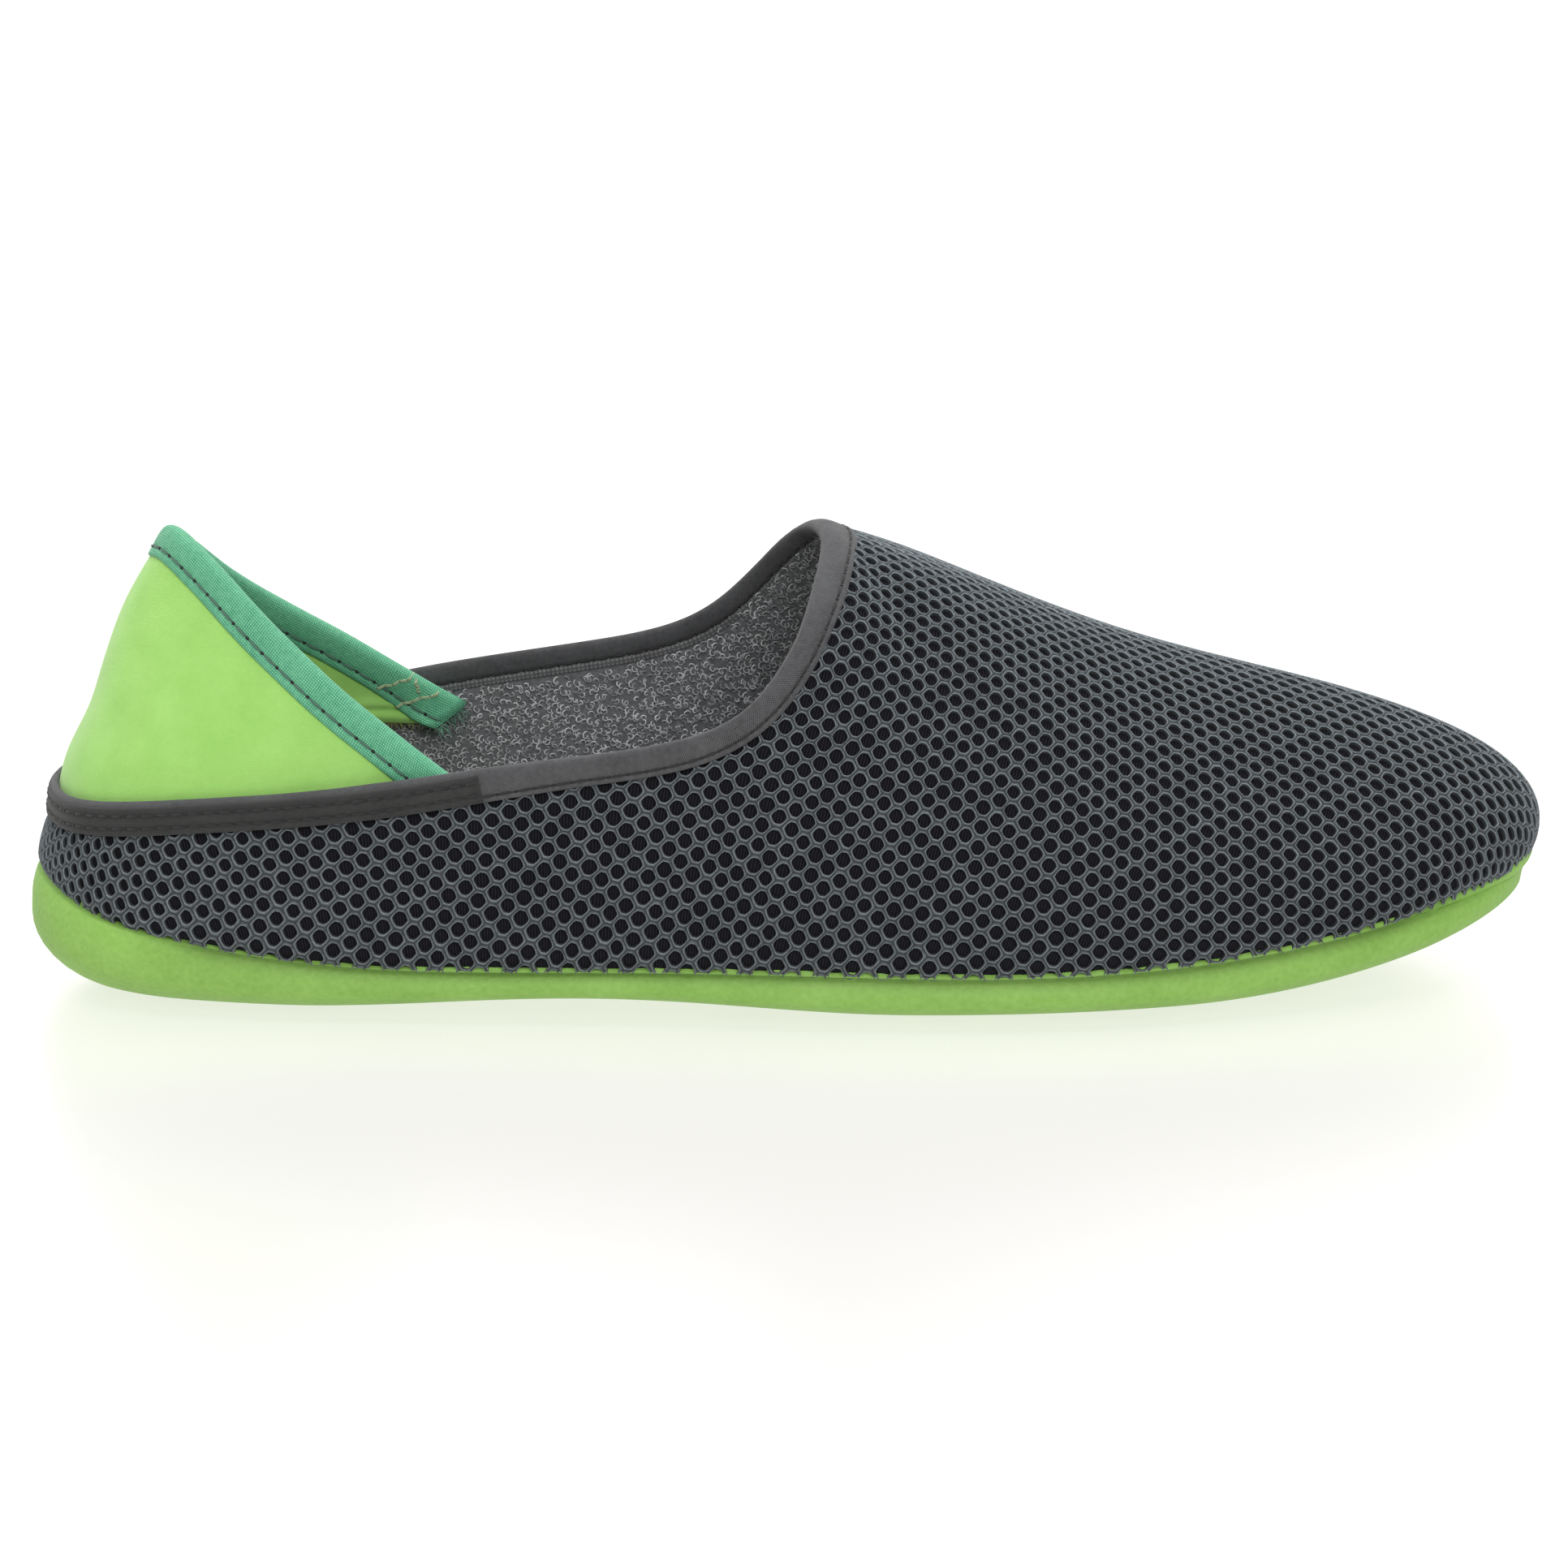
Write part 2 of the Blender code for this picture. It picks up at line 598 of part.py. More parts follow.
def make_flap_binding(parent, sheet):
    """Woven tape folded over the flap's free edge from end to end."""
    places = collar_run(FLAP_END)
    heights = np.linspace(0.0, 1.0, SHEET_ROWS)
    columns = np.array(flap_rows(sheet, places, heights)).transpose(1, 0, 2)
    ahead = np.array(flap_rows(sheet, places + NUDGE, heights)).transpose(1, 0, 2)
    behind = np.array(flap_rows(sheet, places - NUDGE, heights)).transpose(1, 0, 2)
    edge = columns[:, -1]
    along = unit(np.gradient(edge, axis=0))
    legs = [flap_leg(columns, ahead - behind, along, depth)
            for depth in np.linspace(FLAP_BINDING_WIDTH, 0.0, LEG_ROWS)]
    out = legs[-1][1]
    rows = folded_tape(legs, edge, out, unit(np.cross(along, out)), FLAP_THICKNESS)
    faces = loft_faces(len(rows), len(places), False)
    finish = material("emerald tape", (0.12, 0.44, 0.25), 0.7)
    return add_piece("flap_binding", np.vstack(rows), faces, finish, parent, Wall(BINDING_THICKNESS, OUTWARD))


def clear_scene():
    for item in list(bpy.data.objects):
        bpy.data.objects.remove(item, do_unlink=True)


def stand_centred(last, pieces):
    """Set the middle of the whole slipper's box over the origin, with its sole on the floor."""
    bpy.context.view_layer.update()
    graph = bpy.context.evaluated_depsgraph_get()
    corners = np.array([corner for piece in pieces for corner in piece.evaluated_get(graph).bound_box])
    low, high = corners.min(axis=0), corners.max(axis=0)
    last.location = (-0.5 * (low[0] + high[0]), -0.5 * (low[1] + high[1]), -low[2])


def main():
    clear_scene()
    if PART.name not in bpy.context.scene.collection.children:
        bpy.context.scene.collection.children.link(PART)
    last = bpy.data.objects.new("last", None)
    PART.objects.link(last)
    sheet = upper_sheet()
    pieces = [make_outsole(last), make_upper(last), make_insole(last), make_collar_binding(last, sheet),
              make_heel_tape(last, sheet), make_heel_flap(last, sheet), make_flap_binding(last, sheet)]
    stand_centred(last, pieces)


main()
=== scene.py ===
"""Looks of the mule slipper: cloth, knit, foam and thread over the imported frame."""
from collections import namedtuple
from math import cos, pi, radians, sin

import bpy
import numpy as np
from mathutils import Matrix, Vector
from mathutils.bvhtree import BVHTree


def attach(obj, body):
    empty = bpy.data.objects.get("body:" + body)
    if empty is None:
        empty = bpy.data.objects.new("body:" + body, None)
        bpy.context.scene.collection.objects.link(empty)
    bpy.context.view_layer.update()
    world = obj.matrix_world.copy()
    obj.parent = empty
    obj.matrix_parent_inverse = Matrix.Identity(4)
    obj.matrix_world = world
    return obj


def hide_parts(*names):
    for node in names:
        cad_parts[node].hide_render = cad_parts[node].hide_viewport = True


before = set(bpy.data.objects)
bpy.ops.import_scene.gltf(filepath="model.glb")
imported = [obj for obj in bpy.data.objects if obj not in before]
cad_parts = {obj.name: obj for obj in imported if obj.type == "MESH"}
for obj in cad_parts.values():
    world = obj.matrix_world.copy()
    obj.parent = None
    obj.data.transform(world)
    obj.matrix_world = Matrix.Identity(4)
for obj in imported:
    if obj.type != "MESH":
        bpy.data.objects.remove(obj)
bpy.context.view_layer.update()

MM = 0.001
SCENE = bpy.context.scene
RANDOM = np.random.default_rng(7)

# The shapes below are in the millimetres of the part's source, which is moved by this much to its row
SHIFT = np.array([-137.35835, -1.59122, 0.0])

# Driving dimensions, and the room between sole and insole
LENGTH = 275.0
BALL_WIDTH = 88.0
INSTEP_HEIGHT = 82.7
FLAP_HEIGHT = 82.6
GAP = 0.3

# Sole: flats, waist and toe spring along its length, then its edge and its cup
HEEL_FLAT_END = 46.0
BALL_FLAT_START = 156.0
BALL_FLAT_END = 204.0
WAIST_RISE = 2.6
TOE_SPRING = 13.2
TOE_SPRING_POWER = 2.0
HEEL_THICKNESS = 8.0
FOREFOOT_THICKNESS = 6.4
TOE_FLOOR_SHARE = 0.78
SIDE_BULGE = 1.2
WIDEST_SHARE = 0.62
RIM_WIDTH = 3.4
CUP_DRAFT = 0.4

# Insole
INSOLE_THICKNESS = 3.6
INSOLE_CLEAR = 0.5
INSOLE_BEVEL = 1.4

# Heel tape and heel flap: their ends are counted in sections from the heel back
TAPE_END = 3.5
FLAP_BINDING_SHARE = 0.8
FLAP_THICKNESS = 1.6
FLAP_END = 3.45
FLAP_END_START = 2.2
FLAP_END_RUN = 1.0
FLAP_END_SPARE = 1.2
FLAP_TUCK = 9.0
FLAP_END_TUCK = 14.0
FLAP_HOOK = 14.0
FLAP_ROOT_REACH = 0.40
FLAP_TIP_REACH = 0.36

# Points inside the shoe and in the middle of its mouth
INSIDE = np.array([124.0, 0.0, 25.0])
MOUTH = np.array([75.0, 0.0, 62.0])

# Surface density, and the step for taking directions
SHEET_RIBS = 12
SHEET_ROWS = 61
NUDGE = 0.02

# Foot line of the upper, heel to toe. x is a per cent of the length, the half widths either side of
# the heel's centre line are per cents of the ball width. In millimetres: the height where the sole's
# rim ends, how far the wall swells and climbs there, and how far in the sole's edge is rounded.
Section = namedtuple("Section", "x lateral medial join swell rise edge")
SECTIONS = Section(*np.array((
    (0.36, 0.0, 0.0, 21.8, 0.5, 5.0, 17.5),
    (3.09, -19.3, 19.3, 17.9, 0.8, 6.0, 16.5),
    (10.91, -32.4, 31.8, 13.2, 1.0, 8.0, 17.0),
    (23.27, -37.5, 34.7, 9.6, 1.6, 11.0, 18.0),
    (37.82, -41.6, 33.5, 9.6, 2.2, 14.0, 18.0),
    (47.64, -45.5, 36.9, 9.8, 2.6, 18.0, 20.0),
    (53.45, -47.7, 41.5, 9.7, 3.0, 23.0, 21.5),
    (57.45, -48.8, 44.9, 9.6, 3.4, 29.0, 22.0),
    (61.09, -49.1, 47.7, 9.5, 4.0, 34.0, 22.5),
    (69.09, -47.3, 51.8, 9.6, 4.4, 30.0, 22.5),
    (77.82, -40.9, 52.5, 10.6, 4.8, 25.5, 20.5),
    (87.27, -29.3, 47.7, 13.4, 5.4, 20.0, 16.5),
    (94.91, -13.6, 34.7, 16.8, 7.2, 15.5, 12.0),
    (98.80, 10.2, 10.2, 17.6, 10.2, 13.5, 9.0),
)).T)

# Cut edge of the upper at the collar, one row for each section from the heel to the instep: lateral and
# medial x, y and z as per cents of the length, ball width and instep height, then the wall's way down
# from the edge in millimetres: outwards, down and ahead.
COLLAR = np.array((
    (1.38, 0.0, 44.0, 1.38, 0.0, 44.0, 0.0, 5.0, 0.0),
    (3.13, -18.9, 43.3, 3.13, 18.9, 44.5, 0.2, 6.0, 0.0),
    (10.73, -31.4, 45.7, 10.73, 30.2, 48.6, 0.4, 8.0, 0.0),
    (22.91, -36.1, 49.8, 22.91, 32.0, 59.0, 0.8, 10.0, 0.0),
    (36.36, -39.3, 57.6, 36.73, 34.5, 66.0, 1.4, 12.0, 0.5),
    (46.18, -40.0, 67.5, 44.58, 35.5, 73.3, 3.0, 15.0, 3.0),
    (49.89, -33.2, 82.5, 48.58, 28.6, 86.8, 7.0, 16.0, 5.0),
    (51.56, -19.5, 94.3, 50.84, 15.5, 96.5, 14.2, 8.0, 9.0),
    (52.07, 0.7, 100.0, 52.07, 0.7, 100.0, 0.0, 0.0, 0.0),
))

# Ridge of the vamp from the throat to the toe: its line as per cents of the length, ball width and
# instep height, and how many degrees each rib turns towards the toe and how far it reaches out there.
RIDGE = np.array((
    (52.07, 0.7, 100.0, 30.0, 28.0),
    (60.73, 3.6, 88.9, 36.0, 30.0),
    (69.82, 6.1, 76.7, 43.0, 27.0),
    (77.82, 8.0, 68.5, 52.0, 26.0),
    (83.64, 9.1, 63.4, 70.0, 26.0),
    (86.91, 9.8, 60.2, 90.0, 29.5),
))

# Free edge of the heel flap, at places round the ring counted from the heel back: x as a per cent of the
# length, the share that narrows it from the flap's width at the collar, z as a per cent of the flap's
# height, and the millimetres that raise the medial half.
FLAP_EDGE = np.array((
    (0.0, 9.38, 0.90, 100.0, 0.0),
    (0.5, 10.33, 0.90, 97.8, -1.4),
    (1.0, 12.58, 0.87, 90.6, -2.2),
    (1.6, 15.71, 0.86, 81.4, -1.6),
    (2.2, 19.49, 0.88, 71.2, 0.2),
    (2.8, 23.64, 0.91, 60.8, 1.8),
    (3.45, 28.36, 0.95, 48.7, 3.4),
))
TOE = len(SECTIONS.x) - 1
THROAT = len(COLLAR) - 1
RING_PLACES = 2 * TOE


# Lines and surfaces

class Spline:
    """Smooth cubic curve through rows of values at rising knots, open or closed."""

    def __init__(self, knots, values, closed=False):
        self.closed, self.knots = closed, np.asarray(knots, float)
        points = np.asarray(values, float)
        count = len(points)
        self.points = np.vstack([points, points[:1]]) if closed else points
        step = np.diff(self.knots)
        rise = np.diff(self.points, axis=0) / step[:, None]
        system, target = np.zeros((count, count)), np.zeros_like(points)
        for row in range(count):
            before, after = row - 1, (row + 1) % count
            if closed or 0 < row < count - 1:
                system[row, before] += 1.0 / step[before]
                system[row, row] += 2.0 / step[before] + 2.0 / step[row]
                system[row, after] += 1.0 / step[row]
                target[row] = 3.0 * (rise[before] / step[before] + rise[row] / step[row])
            else:
                system[row, row] = 2.0
                system[row, after if row == 0 else before] = 1.0
                target[row] = 3.0 * rise[0 if row == 0 else -1]
        slopes = np.linalg.solve(system, target)
        self.slopes = np.vstack([slopes, slopes[:1]]) if closed else slopes

    def __call__(self, at):
        at = np.atleast_1d(np.asarray(at, float))
        if self.closed:
            at = np.mod(at - self.knots[0], self.knots[-1] - self.knots[0]) + self.knots[0]
        left = np.clip(np.searchsorted(self.knots, at, side="right") - 1, 0, len(self.knots) - 2)
        span = (self.knots[left + 1] - self.knots[left])[:, None]
        share = (at - self.knots[left])[:, None] / span
        start, end = self.points[left], self.points[left + 1]
        leave, arrive = self.slopes[left] * span, self.slopes[left + 1] * span
        return (start * (1 + 2 * share) * (1 - share) ** 2 + leave * share * (1 - share) ** 2
                + end * share ** 2 * (3 - 2 * share) + arrive * share ** 2 * (share - 1))


def unit(vectors):
    return vectors / np.linalg.norm(vectors, axis=-1, keepdims=True)


def run_of(points):
    """Distances along a run of points, from its first."""
    return np.concatenate([[0.0], np.cumsum(np.linalg.norm(np.diff(points, axis=0), axis=1))])


def climbs(grid):
    """Distances up every column of a grid of points, from its first row."""
    steps = np.linalg.norm(np.diff(grid, axis=0), axis=2)
    return np.concatenate([np.zeros((1, grid.shape[1])), np.cumsum(steps, axis=0)])


def between(at, run, values):
    """Rows of values at distances along a run, on straight lines between its points."""
    return np.stack([np.interp(at, run, column) for column in values.T], axis=-1)


def flat_cross(p, q):
    return p[:, 0] * q[:, 1] - p[:, 1] * q[:, 0]


def facing(normals, points, inside):
    """Directions, turned over if on the whole they point at the inside."""
    return -normals if np.sum(normals * (points - inside)) < 0.0 else normals


def per_cent(x, y, z):
    """Points given in per cents of the length, the ball width and the instep height."""
    return np.stack(np.broadcast_arrays(x * LENGTH, y * BALL_WIDTH, z * INSTEP_HEIGHT), axis=-1) / 100.0


def foot_side(half_widths):
    """One side of the foot line, whose heights are in millimetres."""
    line = per_cent(SECTIONS.x, half_widths, 0.0)
    line[:, 2] = SECTIONS.join
    return line


def both_sides(lateral, medial):
    """Rows as one closed run: lateral side heel to toe, then the medial side back to the heel."""
    return np.vstack([lateral, medial[-2:0:-1]])


def closed_run(line):
    return run_of(np.vstack([line, line[:1]]))


FOOT_LINE = both_sides(foot_side(SECTIONS.lateral), foot_side(SECTIONS.medial))
RING_KNOTS = closed_run(FOOT_LINE)
FOOT_SPLINE = Spline(RING_KNOTS, FOOT_LINE, closed=True)
EDGE_ROUND = Spline(RING_KNOTS, both_sides(SECTIONS.edge[:, None], SECTIONS.edge[:, None]), closed=True)
COLLAR_LINE = both_sides(per_cent(*COLLAR[:, :3].T), per_cent(*COLLAR[:, 3:6].T))
COLLAR_SPLINE = Spline(closed_run(COLLAR_LINE), COLLAR_LINE, closed=True)
RIDGE_LINE = per_cent(*RIDGE[:, :3].T)
RIDGE_SPLINE = Spline(np.arange(len(RIDGE)), RIDGE_LINE)


def signed(places):
    """Places round the ring from the heel back, the medial ones negative."""
    return np.mod(places + TOE, RING_PLACES) - TOE


def along_ring(places, stops):
    """Values given at places from the heel to the toe, the same on both sides."""
    return np.interp(np.abs(signed(places)), *zip(*stops))


def ring_knot(place):
    """Distance round the foot line at a place counted in sections, medial places being negative."""
    return np.interp(np.mod(place, RING_PLACES), np.arange(RING_PLACES + 1), RING_KNOTS)


def foot_point(place):
    return FOOT_SPLINE(ring_knot(place))


def outward(place):
    """Level direction out of the shoe, square to the foot line."""
    along = foot_point(np.asarray(place) + NUDGE) - foot_point(np.asarray(place) - NUDGE)
    return unit(np.stack([along[:, 1], -along[:, 0], np.zeros(len(along))], axis=1))


def top_point(place):
    """Where a rib ends: on the collar's cut edge behind the throat, on the vamp's ridge before it."""
    way = signed(np.atleast_1d(place))
    steps = np.abs(way)
    loop = np.mod(np.where(steps <= THROAT, way, 0.0), 2 * THROAT)
    on_collar = COLLAR_SPLINE(np.interp(loop, np.arange(2 * THROAT + 1), COLLAR_SPLINE.knots))
    on_ridge = RIDGE_SPLINE(np.clip(steps - THROAT, 0.0, len(RIDGE) - 1.0))
    return np.where((steps <= THROAT)[:, None], on_collar, on_ridge)


def foot_handles():
    """How each rib leaves the foot line, as one closed run of rows."""
    places = np.arange(RING_PLACES)
    own = np.minimum(places, RING_PLACES - places)
    return outward(places) * SECTIONS.swell[own, None] + np.array([0.0, 0.0, 1.0]) * SECTIONS.rise[own, None]


def high_points():
    """Points that pull each rib outwards below the collar or beside the ridge, as one closed run."""
    ridge_way = unit(np.gradient(RIDGE_LINE, axis=0))
    points = []
    for place in range(RING_PLACES):
        steps = min(place, RING_PLACES - place)
        if steps < THROAT:
            reach, drop, ahead = COLLAR[steps, 6:]
            pull = outward([place])[0] * reach + np.array([ahead, 0.0, -drop])
        else:
            turn, reach = RIDGE[steps - THROAT, 3:]
            across = np.array([0.0, -1.0 if place <= TOE else 1.0, 0.0])
            pull = reach * (sin(radians(turn)) * ridge_way[steps - THROAT] + cos(radians(turn)) * across)
        points.append(top_point(place)[0] + pull)
    return np.array(points)


FOOT_HANDLES = Spline(RING_KNOTS, foot_handles(), closed=True)
HIGH_SPLINE = Spline(RING_KNOTS, high_points(), closed=True)


def rib(start, low, high, end, share):
    """Points on cubic curves between starts and ends, drawn towards two rows of pulling points."""
    rest = 1.0 - share
    return start * rest ** 3 + 3 * low * share * rest ** 2 + 3 * high * share ** 2 * rest + end * share ** 3


def upper_point(place, height):
    """Outer surface of the upper: place round the ring, height from 0 at the foot line to 1 at the top."""
    foot, knot = foot_point(place), ring_knot(place)
    return rib(foot, foot + FOOT_HANDLES(knot), HIGH_SPLINE(knot), top_point(place), height)


def quads_of(index, closed=False):
    """Quads of grids of point numbers, joined round their columns where they are closed."""
    near, far = (index, np.roll(index, -1, axis=-1)) if closed else (index[..., :-1], index[..., 1:])
    corners = [near[..., :-1, :], far[..., :-1, :], far[..., 1:, :], near[..., 1:, :]]
    return np.stack(corners, axis=-1).reshape(-1, 4)


def grid_faces(rows, columns, closed=False, first=0):
    return quads_of(first + np.arange(rows * columns).reshape(rows, columns), closed)


class Sheet:
    """The upper's outer surface for tapes to lie on: a fine grid with a search tree over its faces."""

    def __init__(self):
        places = np.arange(RING_PLACES * SHEET_RIBS) / SHEET_RIBS
        rows = np.array([upper_point(places, height) for height in np.linspace(0.0, 1.0, SHEET_ROWS)])
        faces = grid_faces(*rows.shape[:2], closed=True)
        self.tree = BVHTree.FromPolygons(rows.reshape(-1, 3).tolist(), faces.tolist())

    def nearest(self, points):
        """Closest points on the surface, with the directions out of the shoe there."""
        hits = [self.tree.find_nearest(Vector(point)) for point in points]
        places, normals = (np.array([tuple(hit[part]) for hit in hits]) for part in (0, 1))
        normals[np.sum(normals * (places - INSIDE), axis=1) < 0.0] *= -1.0
        return places, normals


def waist_share(x):
    return np.clip((x - HEEL_FLAT_END) / (BALL_FLAT_START - HEEL_FLAT_END), 0.0, 1.0)


def sole_underside(x):
    """Height of the sole's underside: flat at heel and ball, raised at the waist and the toe."""
    toe = np.clip((x - BALL_FLAT_END) / (LENGTH - BALL_FLAT_END), 0.0, 1.0)
    return WAIST_RISE * np.sin(pi * waist_share(x)) ** 2 + TOE_SPRING * toe ** TOE_SPRING_POWER


def cup_floor(x):
    """Height of the floor inside the sole's cup."""
    thickness = HEEL_THICKNESS + (FOREFOOT_THICKNESS - HEEL_THICKNESS) * waist_share(x)
    return thickness + TOE_FLOOR_SHARE * sole_underside(np.maximum(x, BALL_FLAT_START))


def edge_frames(sheet, edge, closed):
    """At each point of the collar's edge: the way out of the sheet, and the way down into the sheet."""
    along = np.gradient(edge, axis=0)
    if closed:
        along = np.roll(edge, -1, axis=0) - np.roll(edge, 1, axis=0)
    _, out = sheet.nearest(edge)
    into = unit(np.cross(out, unit(along)))
    return out, into * np.sign(np.sum(into * (edge - MOUTH), axis=1))[:, None]


def flap_spline():
    """The flap's free edge: its x, its share of the width and its height."""
    place, x, share, z, lift = FLAP_EDGE.T
    lateral = np.stack([x * LENGTH / 100.0, share, z * FLAP_HEIGHT / 100.0], axis=1)
    medial = lateral + np.outer(lift, (0.0, 0.0, 1.0))
    return Spline(np.concatenate([-place[:0:-1], place]), np.vstack([medial[:0:-1], lateral]))


# Heel flap: how far inside the collar's outer face it stands, its wave and the lift of its near edge, its
# tape's leg, and the trimmed foot and turned tape of its far end
FLAP_SPLINE = flap_spline()
FLAP_SET_IN = 1.25
FLAP_FOOT_IN = 0.8
FLAP_LAID = 2.2
FLAP_WAVE = Spline((0.0, 0.24, 0.38, 0.5, 0.6, 0.73, 0.87, 1.0),
                   np.array([[0.0, -0.4, 1.2, 1.0, 0.4, -0.45, -0.7, -0.5]]).T)
FLAP_WAVE_END = 2.2
FLAP_LIFT = Spline((-3.5, -0.4, 0.0, 0.4, 0.8, 1.2, 1.6, 2.0, 2.4, 3.5),
                   np.array([[0.0, 0.0, 0.2, 2.0, 3.2, 3.5, 2.8, 2.0, 1.15, 1.0]]).T)
FLAP_LEG = 0.85
FAR_LEG = 0.25
FAR_TURN = radians(25.0)
FAR_START = 2.75
FAR_RUN = 0.45
FAR_FOOT = ((2.0, 0.0), (2.5, 38.0), (2.7, 42.2), (3.45, 41.5))
FLAP_FAR_END = 3.2
FLAP_TAPE_END = 3.38
FLAP_FINE_ROWS = 44
FLAP_LEAST = 1.0
FLAP_MEASURED_EVERY = 8
FOLD_PITCH = 3.0
FOLD_SWELL = 0.7
FOLD_COUNT = 2.2
FOLD_START = 2.1
FOLD_RUN = 0.4
RAW_COLUMNS = 9.0
RAW_THREADS = 90
RAW_DEPTH = 0.7


def flap_rows(sheet, places, heights):
    """Outer face of the heel flap, as rows of points from its tucked foot to its free edge."""
    edge = top_point(places)
    _, into = edge_frames(sheet, edge, False)
    to_end = np.clip((np.abs(places) - FLAP_END_START) / FLAP_END_RUN, 0.0, 1.0)[:, None]
    clear = FLAP_SET_IN + FLAP_END_SPARE * to_end
    tuck = FLAP_TUCK + (FLAP_END_TUCK - FLAP_TUCK) * to_end
    foot, foot_out = sheet.nearest(edge + into * tuck)
    foot = foot - foot_out * (clear + FLAP_FOOT_IN)
    collar, collar_out = sheet.nearest(edge)
    collar = collar - collar_out * clear
    x, share, z = FLAP_SPLINE(places).T
    z = z + FLAP_LIFT(places)[:, 0]
    laid = FLAP_LAID * np.clip((np.abs(places) - FAR_START) / (FLAP_END - FAR_START), 0.0, 1.0)
    tip = np.stack([x, collar[:, 1] * share - np.sign(places) * laid, z], axis=1)
    tall = np.linalg.norm(tip - foot, axis=1)[:, None]
    low = foot + unit(collar - foot) * tall * FLAP_ROOT_REACH
    ahead = np.array([1.0, 0.0, 0.0])
    hook = np.outer(FLAP_HOOK * (1.0 - np.abs(places) / FLAP_END), ahead)
    high = tip - unit(tip - foot + hook) * tall * FLAP_TIP_REACH
    back = np.clip(1.0 - np.abs(places) / FLAP_WAVE_END, 0.0, 1.0)
    return np.array([rib(foot, low, high, tip, height) + np.outer(back * FLAP_WAVE(height)[0, 0], ahead)
                     for height in heights])


def flap_leg(columns, across, along, depth):
    """Points and outward directions on the flap's outer face, a depth below its free edge."""
    heights = np.linspace(0.0, 1.0, SHEET_ROWS)
    points, normals = [], []
    for column, sideways, way, deep in zip(columns, across, along, np.broadcast_to(depth, len(columns))):
        run = run_of(column[::-1])
        slant = np.linalg.norm(np.cross(unit(column[-1] - column[-2]), way))
        down = min(deep / slant, FLAP_BINDING_SHARE * run[-1])
        level = np.interp(down, run, heights[::-1]) * (SHEET_ROWS - 1)
        index = min(int(level), SHEET_ROWS - 2)
        climb = column[index + 1] - column[index]
        points.append(column[index] + climb * (level - index))
        normals.append(np.cross(sideways[index], climb))
    return np.array(points), unit(np.array(normals))


# Building meshes: each piece has the node that it stands for and hides, and a material slot that is not used

OUTSOLE = ("outsole", "sole_foam")
UPPER = ("upper", "upper_mesh")
LINING = ("upper", "insole_terry")
INSOLE = ("insole", "insole_terry")
COLLAR_BINDING = ("collar_binding", "collar_tape")
HEEL_TAPE = ("heel_tape", "heel_tape")
HEEL_FLAP = ("heel_flap", "flap_cloth")
FLAP_BINDING = ("flap_binding", "flap_tape")
TURNED_OVER = [0, 3, 2, 1]
WELD_DIGITS = 4


def add_mesh(name, points, blocks, finish, own, uv):
    """One piece from points in millimetres and blocks of faces; its map is rows of two, a row or a value."""
    node, slot = own
    mesh = bpy.data.meshes.new(name)
    faces = [face for block in blocks for face in np.asarray(block).tolist()]
    mesh.from_pydata(((points + SHIFT) * MM).tolist(), [], faces)
    layer = mesh.uv_layers.new(name="cloth")
    at = np.empty(len(mesh.loops), int)
    mesh.loops.foreach_get("vertex_index", at)
    uv = np.asarray(uv, float)
    uv = np.broadcast_to(uv if uv.ndim == 2 else uv.reshape(-1, 1), (len(points), 2))
    layer.data.foreach_set("uv", uv[at].ravel())
    mesh.shade_smooth()
    piece = bpy.data.objects.new(name, mesh)
    mesh.materials.append(finish)
    SCENE.collection.objects.link(piece)
    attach(piece, "root")
    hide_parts(node)
    return piece


def tubes(paths, radius, sides, up):
    """Round threads along many paths at once, closed at both ends."""
    way = unit(np.gradient(paths, axis=1))
    across = unit(np.cross(way, up[:, None, :]))
    lift = np.cross(across, way)
    turn = 2 * pi * np.arange(sides) / sides
    ring = across[:, :, None, :] * np.cos(turn)[:, None] + lift[:, :, None, :] * np.sin(turn)[:, None]
    points = paths[:, :, None, :] + ring * np.broadcast_to(radius, paths.shape[:2])[:, :, None, None]
    index = np.arange(points.size // 3).reshape(points.shape[:3])
    quads = quads_of(index, closed=True)[:, TURNED_OVER]
    return points.reshape(-1, 3), [quads, np.vstack([index[:, 0], index[:, -1, ::-1]])]


def welded(points, blocks):
    """Points at one place made one, with four-cornered faces that lose a corner made triangles."""
    _, first, same = np.unique(np.round(points, WELD_DIGITS), axis=0, return_index=True, return_inverse=True)
    faces = [list(dict.fromkeys(face)) for face in same.ravel()[np.vstack(blocks)].tolist()]
    return points[first], [[face for face in faces if len(face) == corners] for corners in (3, 4)], first


# Materials

def shade(kind, tree, inputs=None, **settings):
    """One shader node with its settings and inputs, which are values or other nodes' outputs."""
    node = tree.nodes.new("ShaderNode" + kind)
    for name, value in settings.items():
        setattr(node, name, value)
    for name, value in (inputs or {}).items():
        if isinstance(value, bpy.types.NodeSocket):
            tree.links.new(value, node.inputs[name])
        else:
            node.inputs[name].default_value = value
    return node


def new_finish(name, roughness, sheen=0.0, specular=0.5):
    """A material with the values that are the same all over it, its tree and its shader's sockets."""
    finish = bpy.data.materials.new(name)
    finish.use_nodes = True
    sockets = finish.node_tree.nodes["Principled BSDF"].inputs
    for socket, value in (("Roughness", roughness), ("Sheen Weight", sheen), ("Sheen Roughness", 0.5),
                          ("Specular IOR Level", specular)):
        sockets[socket].default_value = value
    return finish, finish.node_tree, sockets


def dressed(finish, colour, height, strength, distance):
    """The material with its colour and with the relief of a height."""
    tree = finish.node_tree
    sockets = tree.nodes["Principled BSDF"].inputs
    relief = shade("Bump", tree, {"Height": height, "Strength": strength, "Distance": distance})
    tree.links.new(colour, sockets["Base Color"])
    tree.links.new(relief.outputs[0], sockets["Normal"])
    return finish


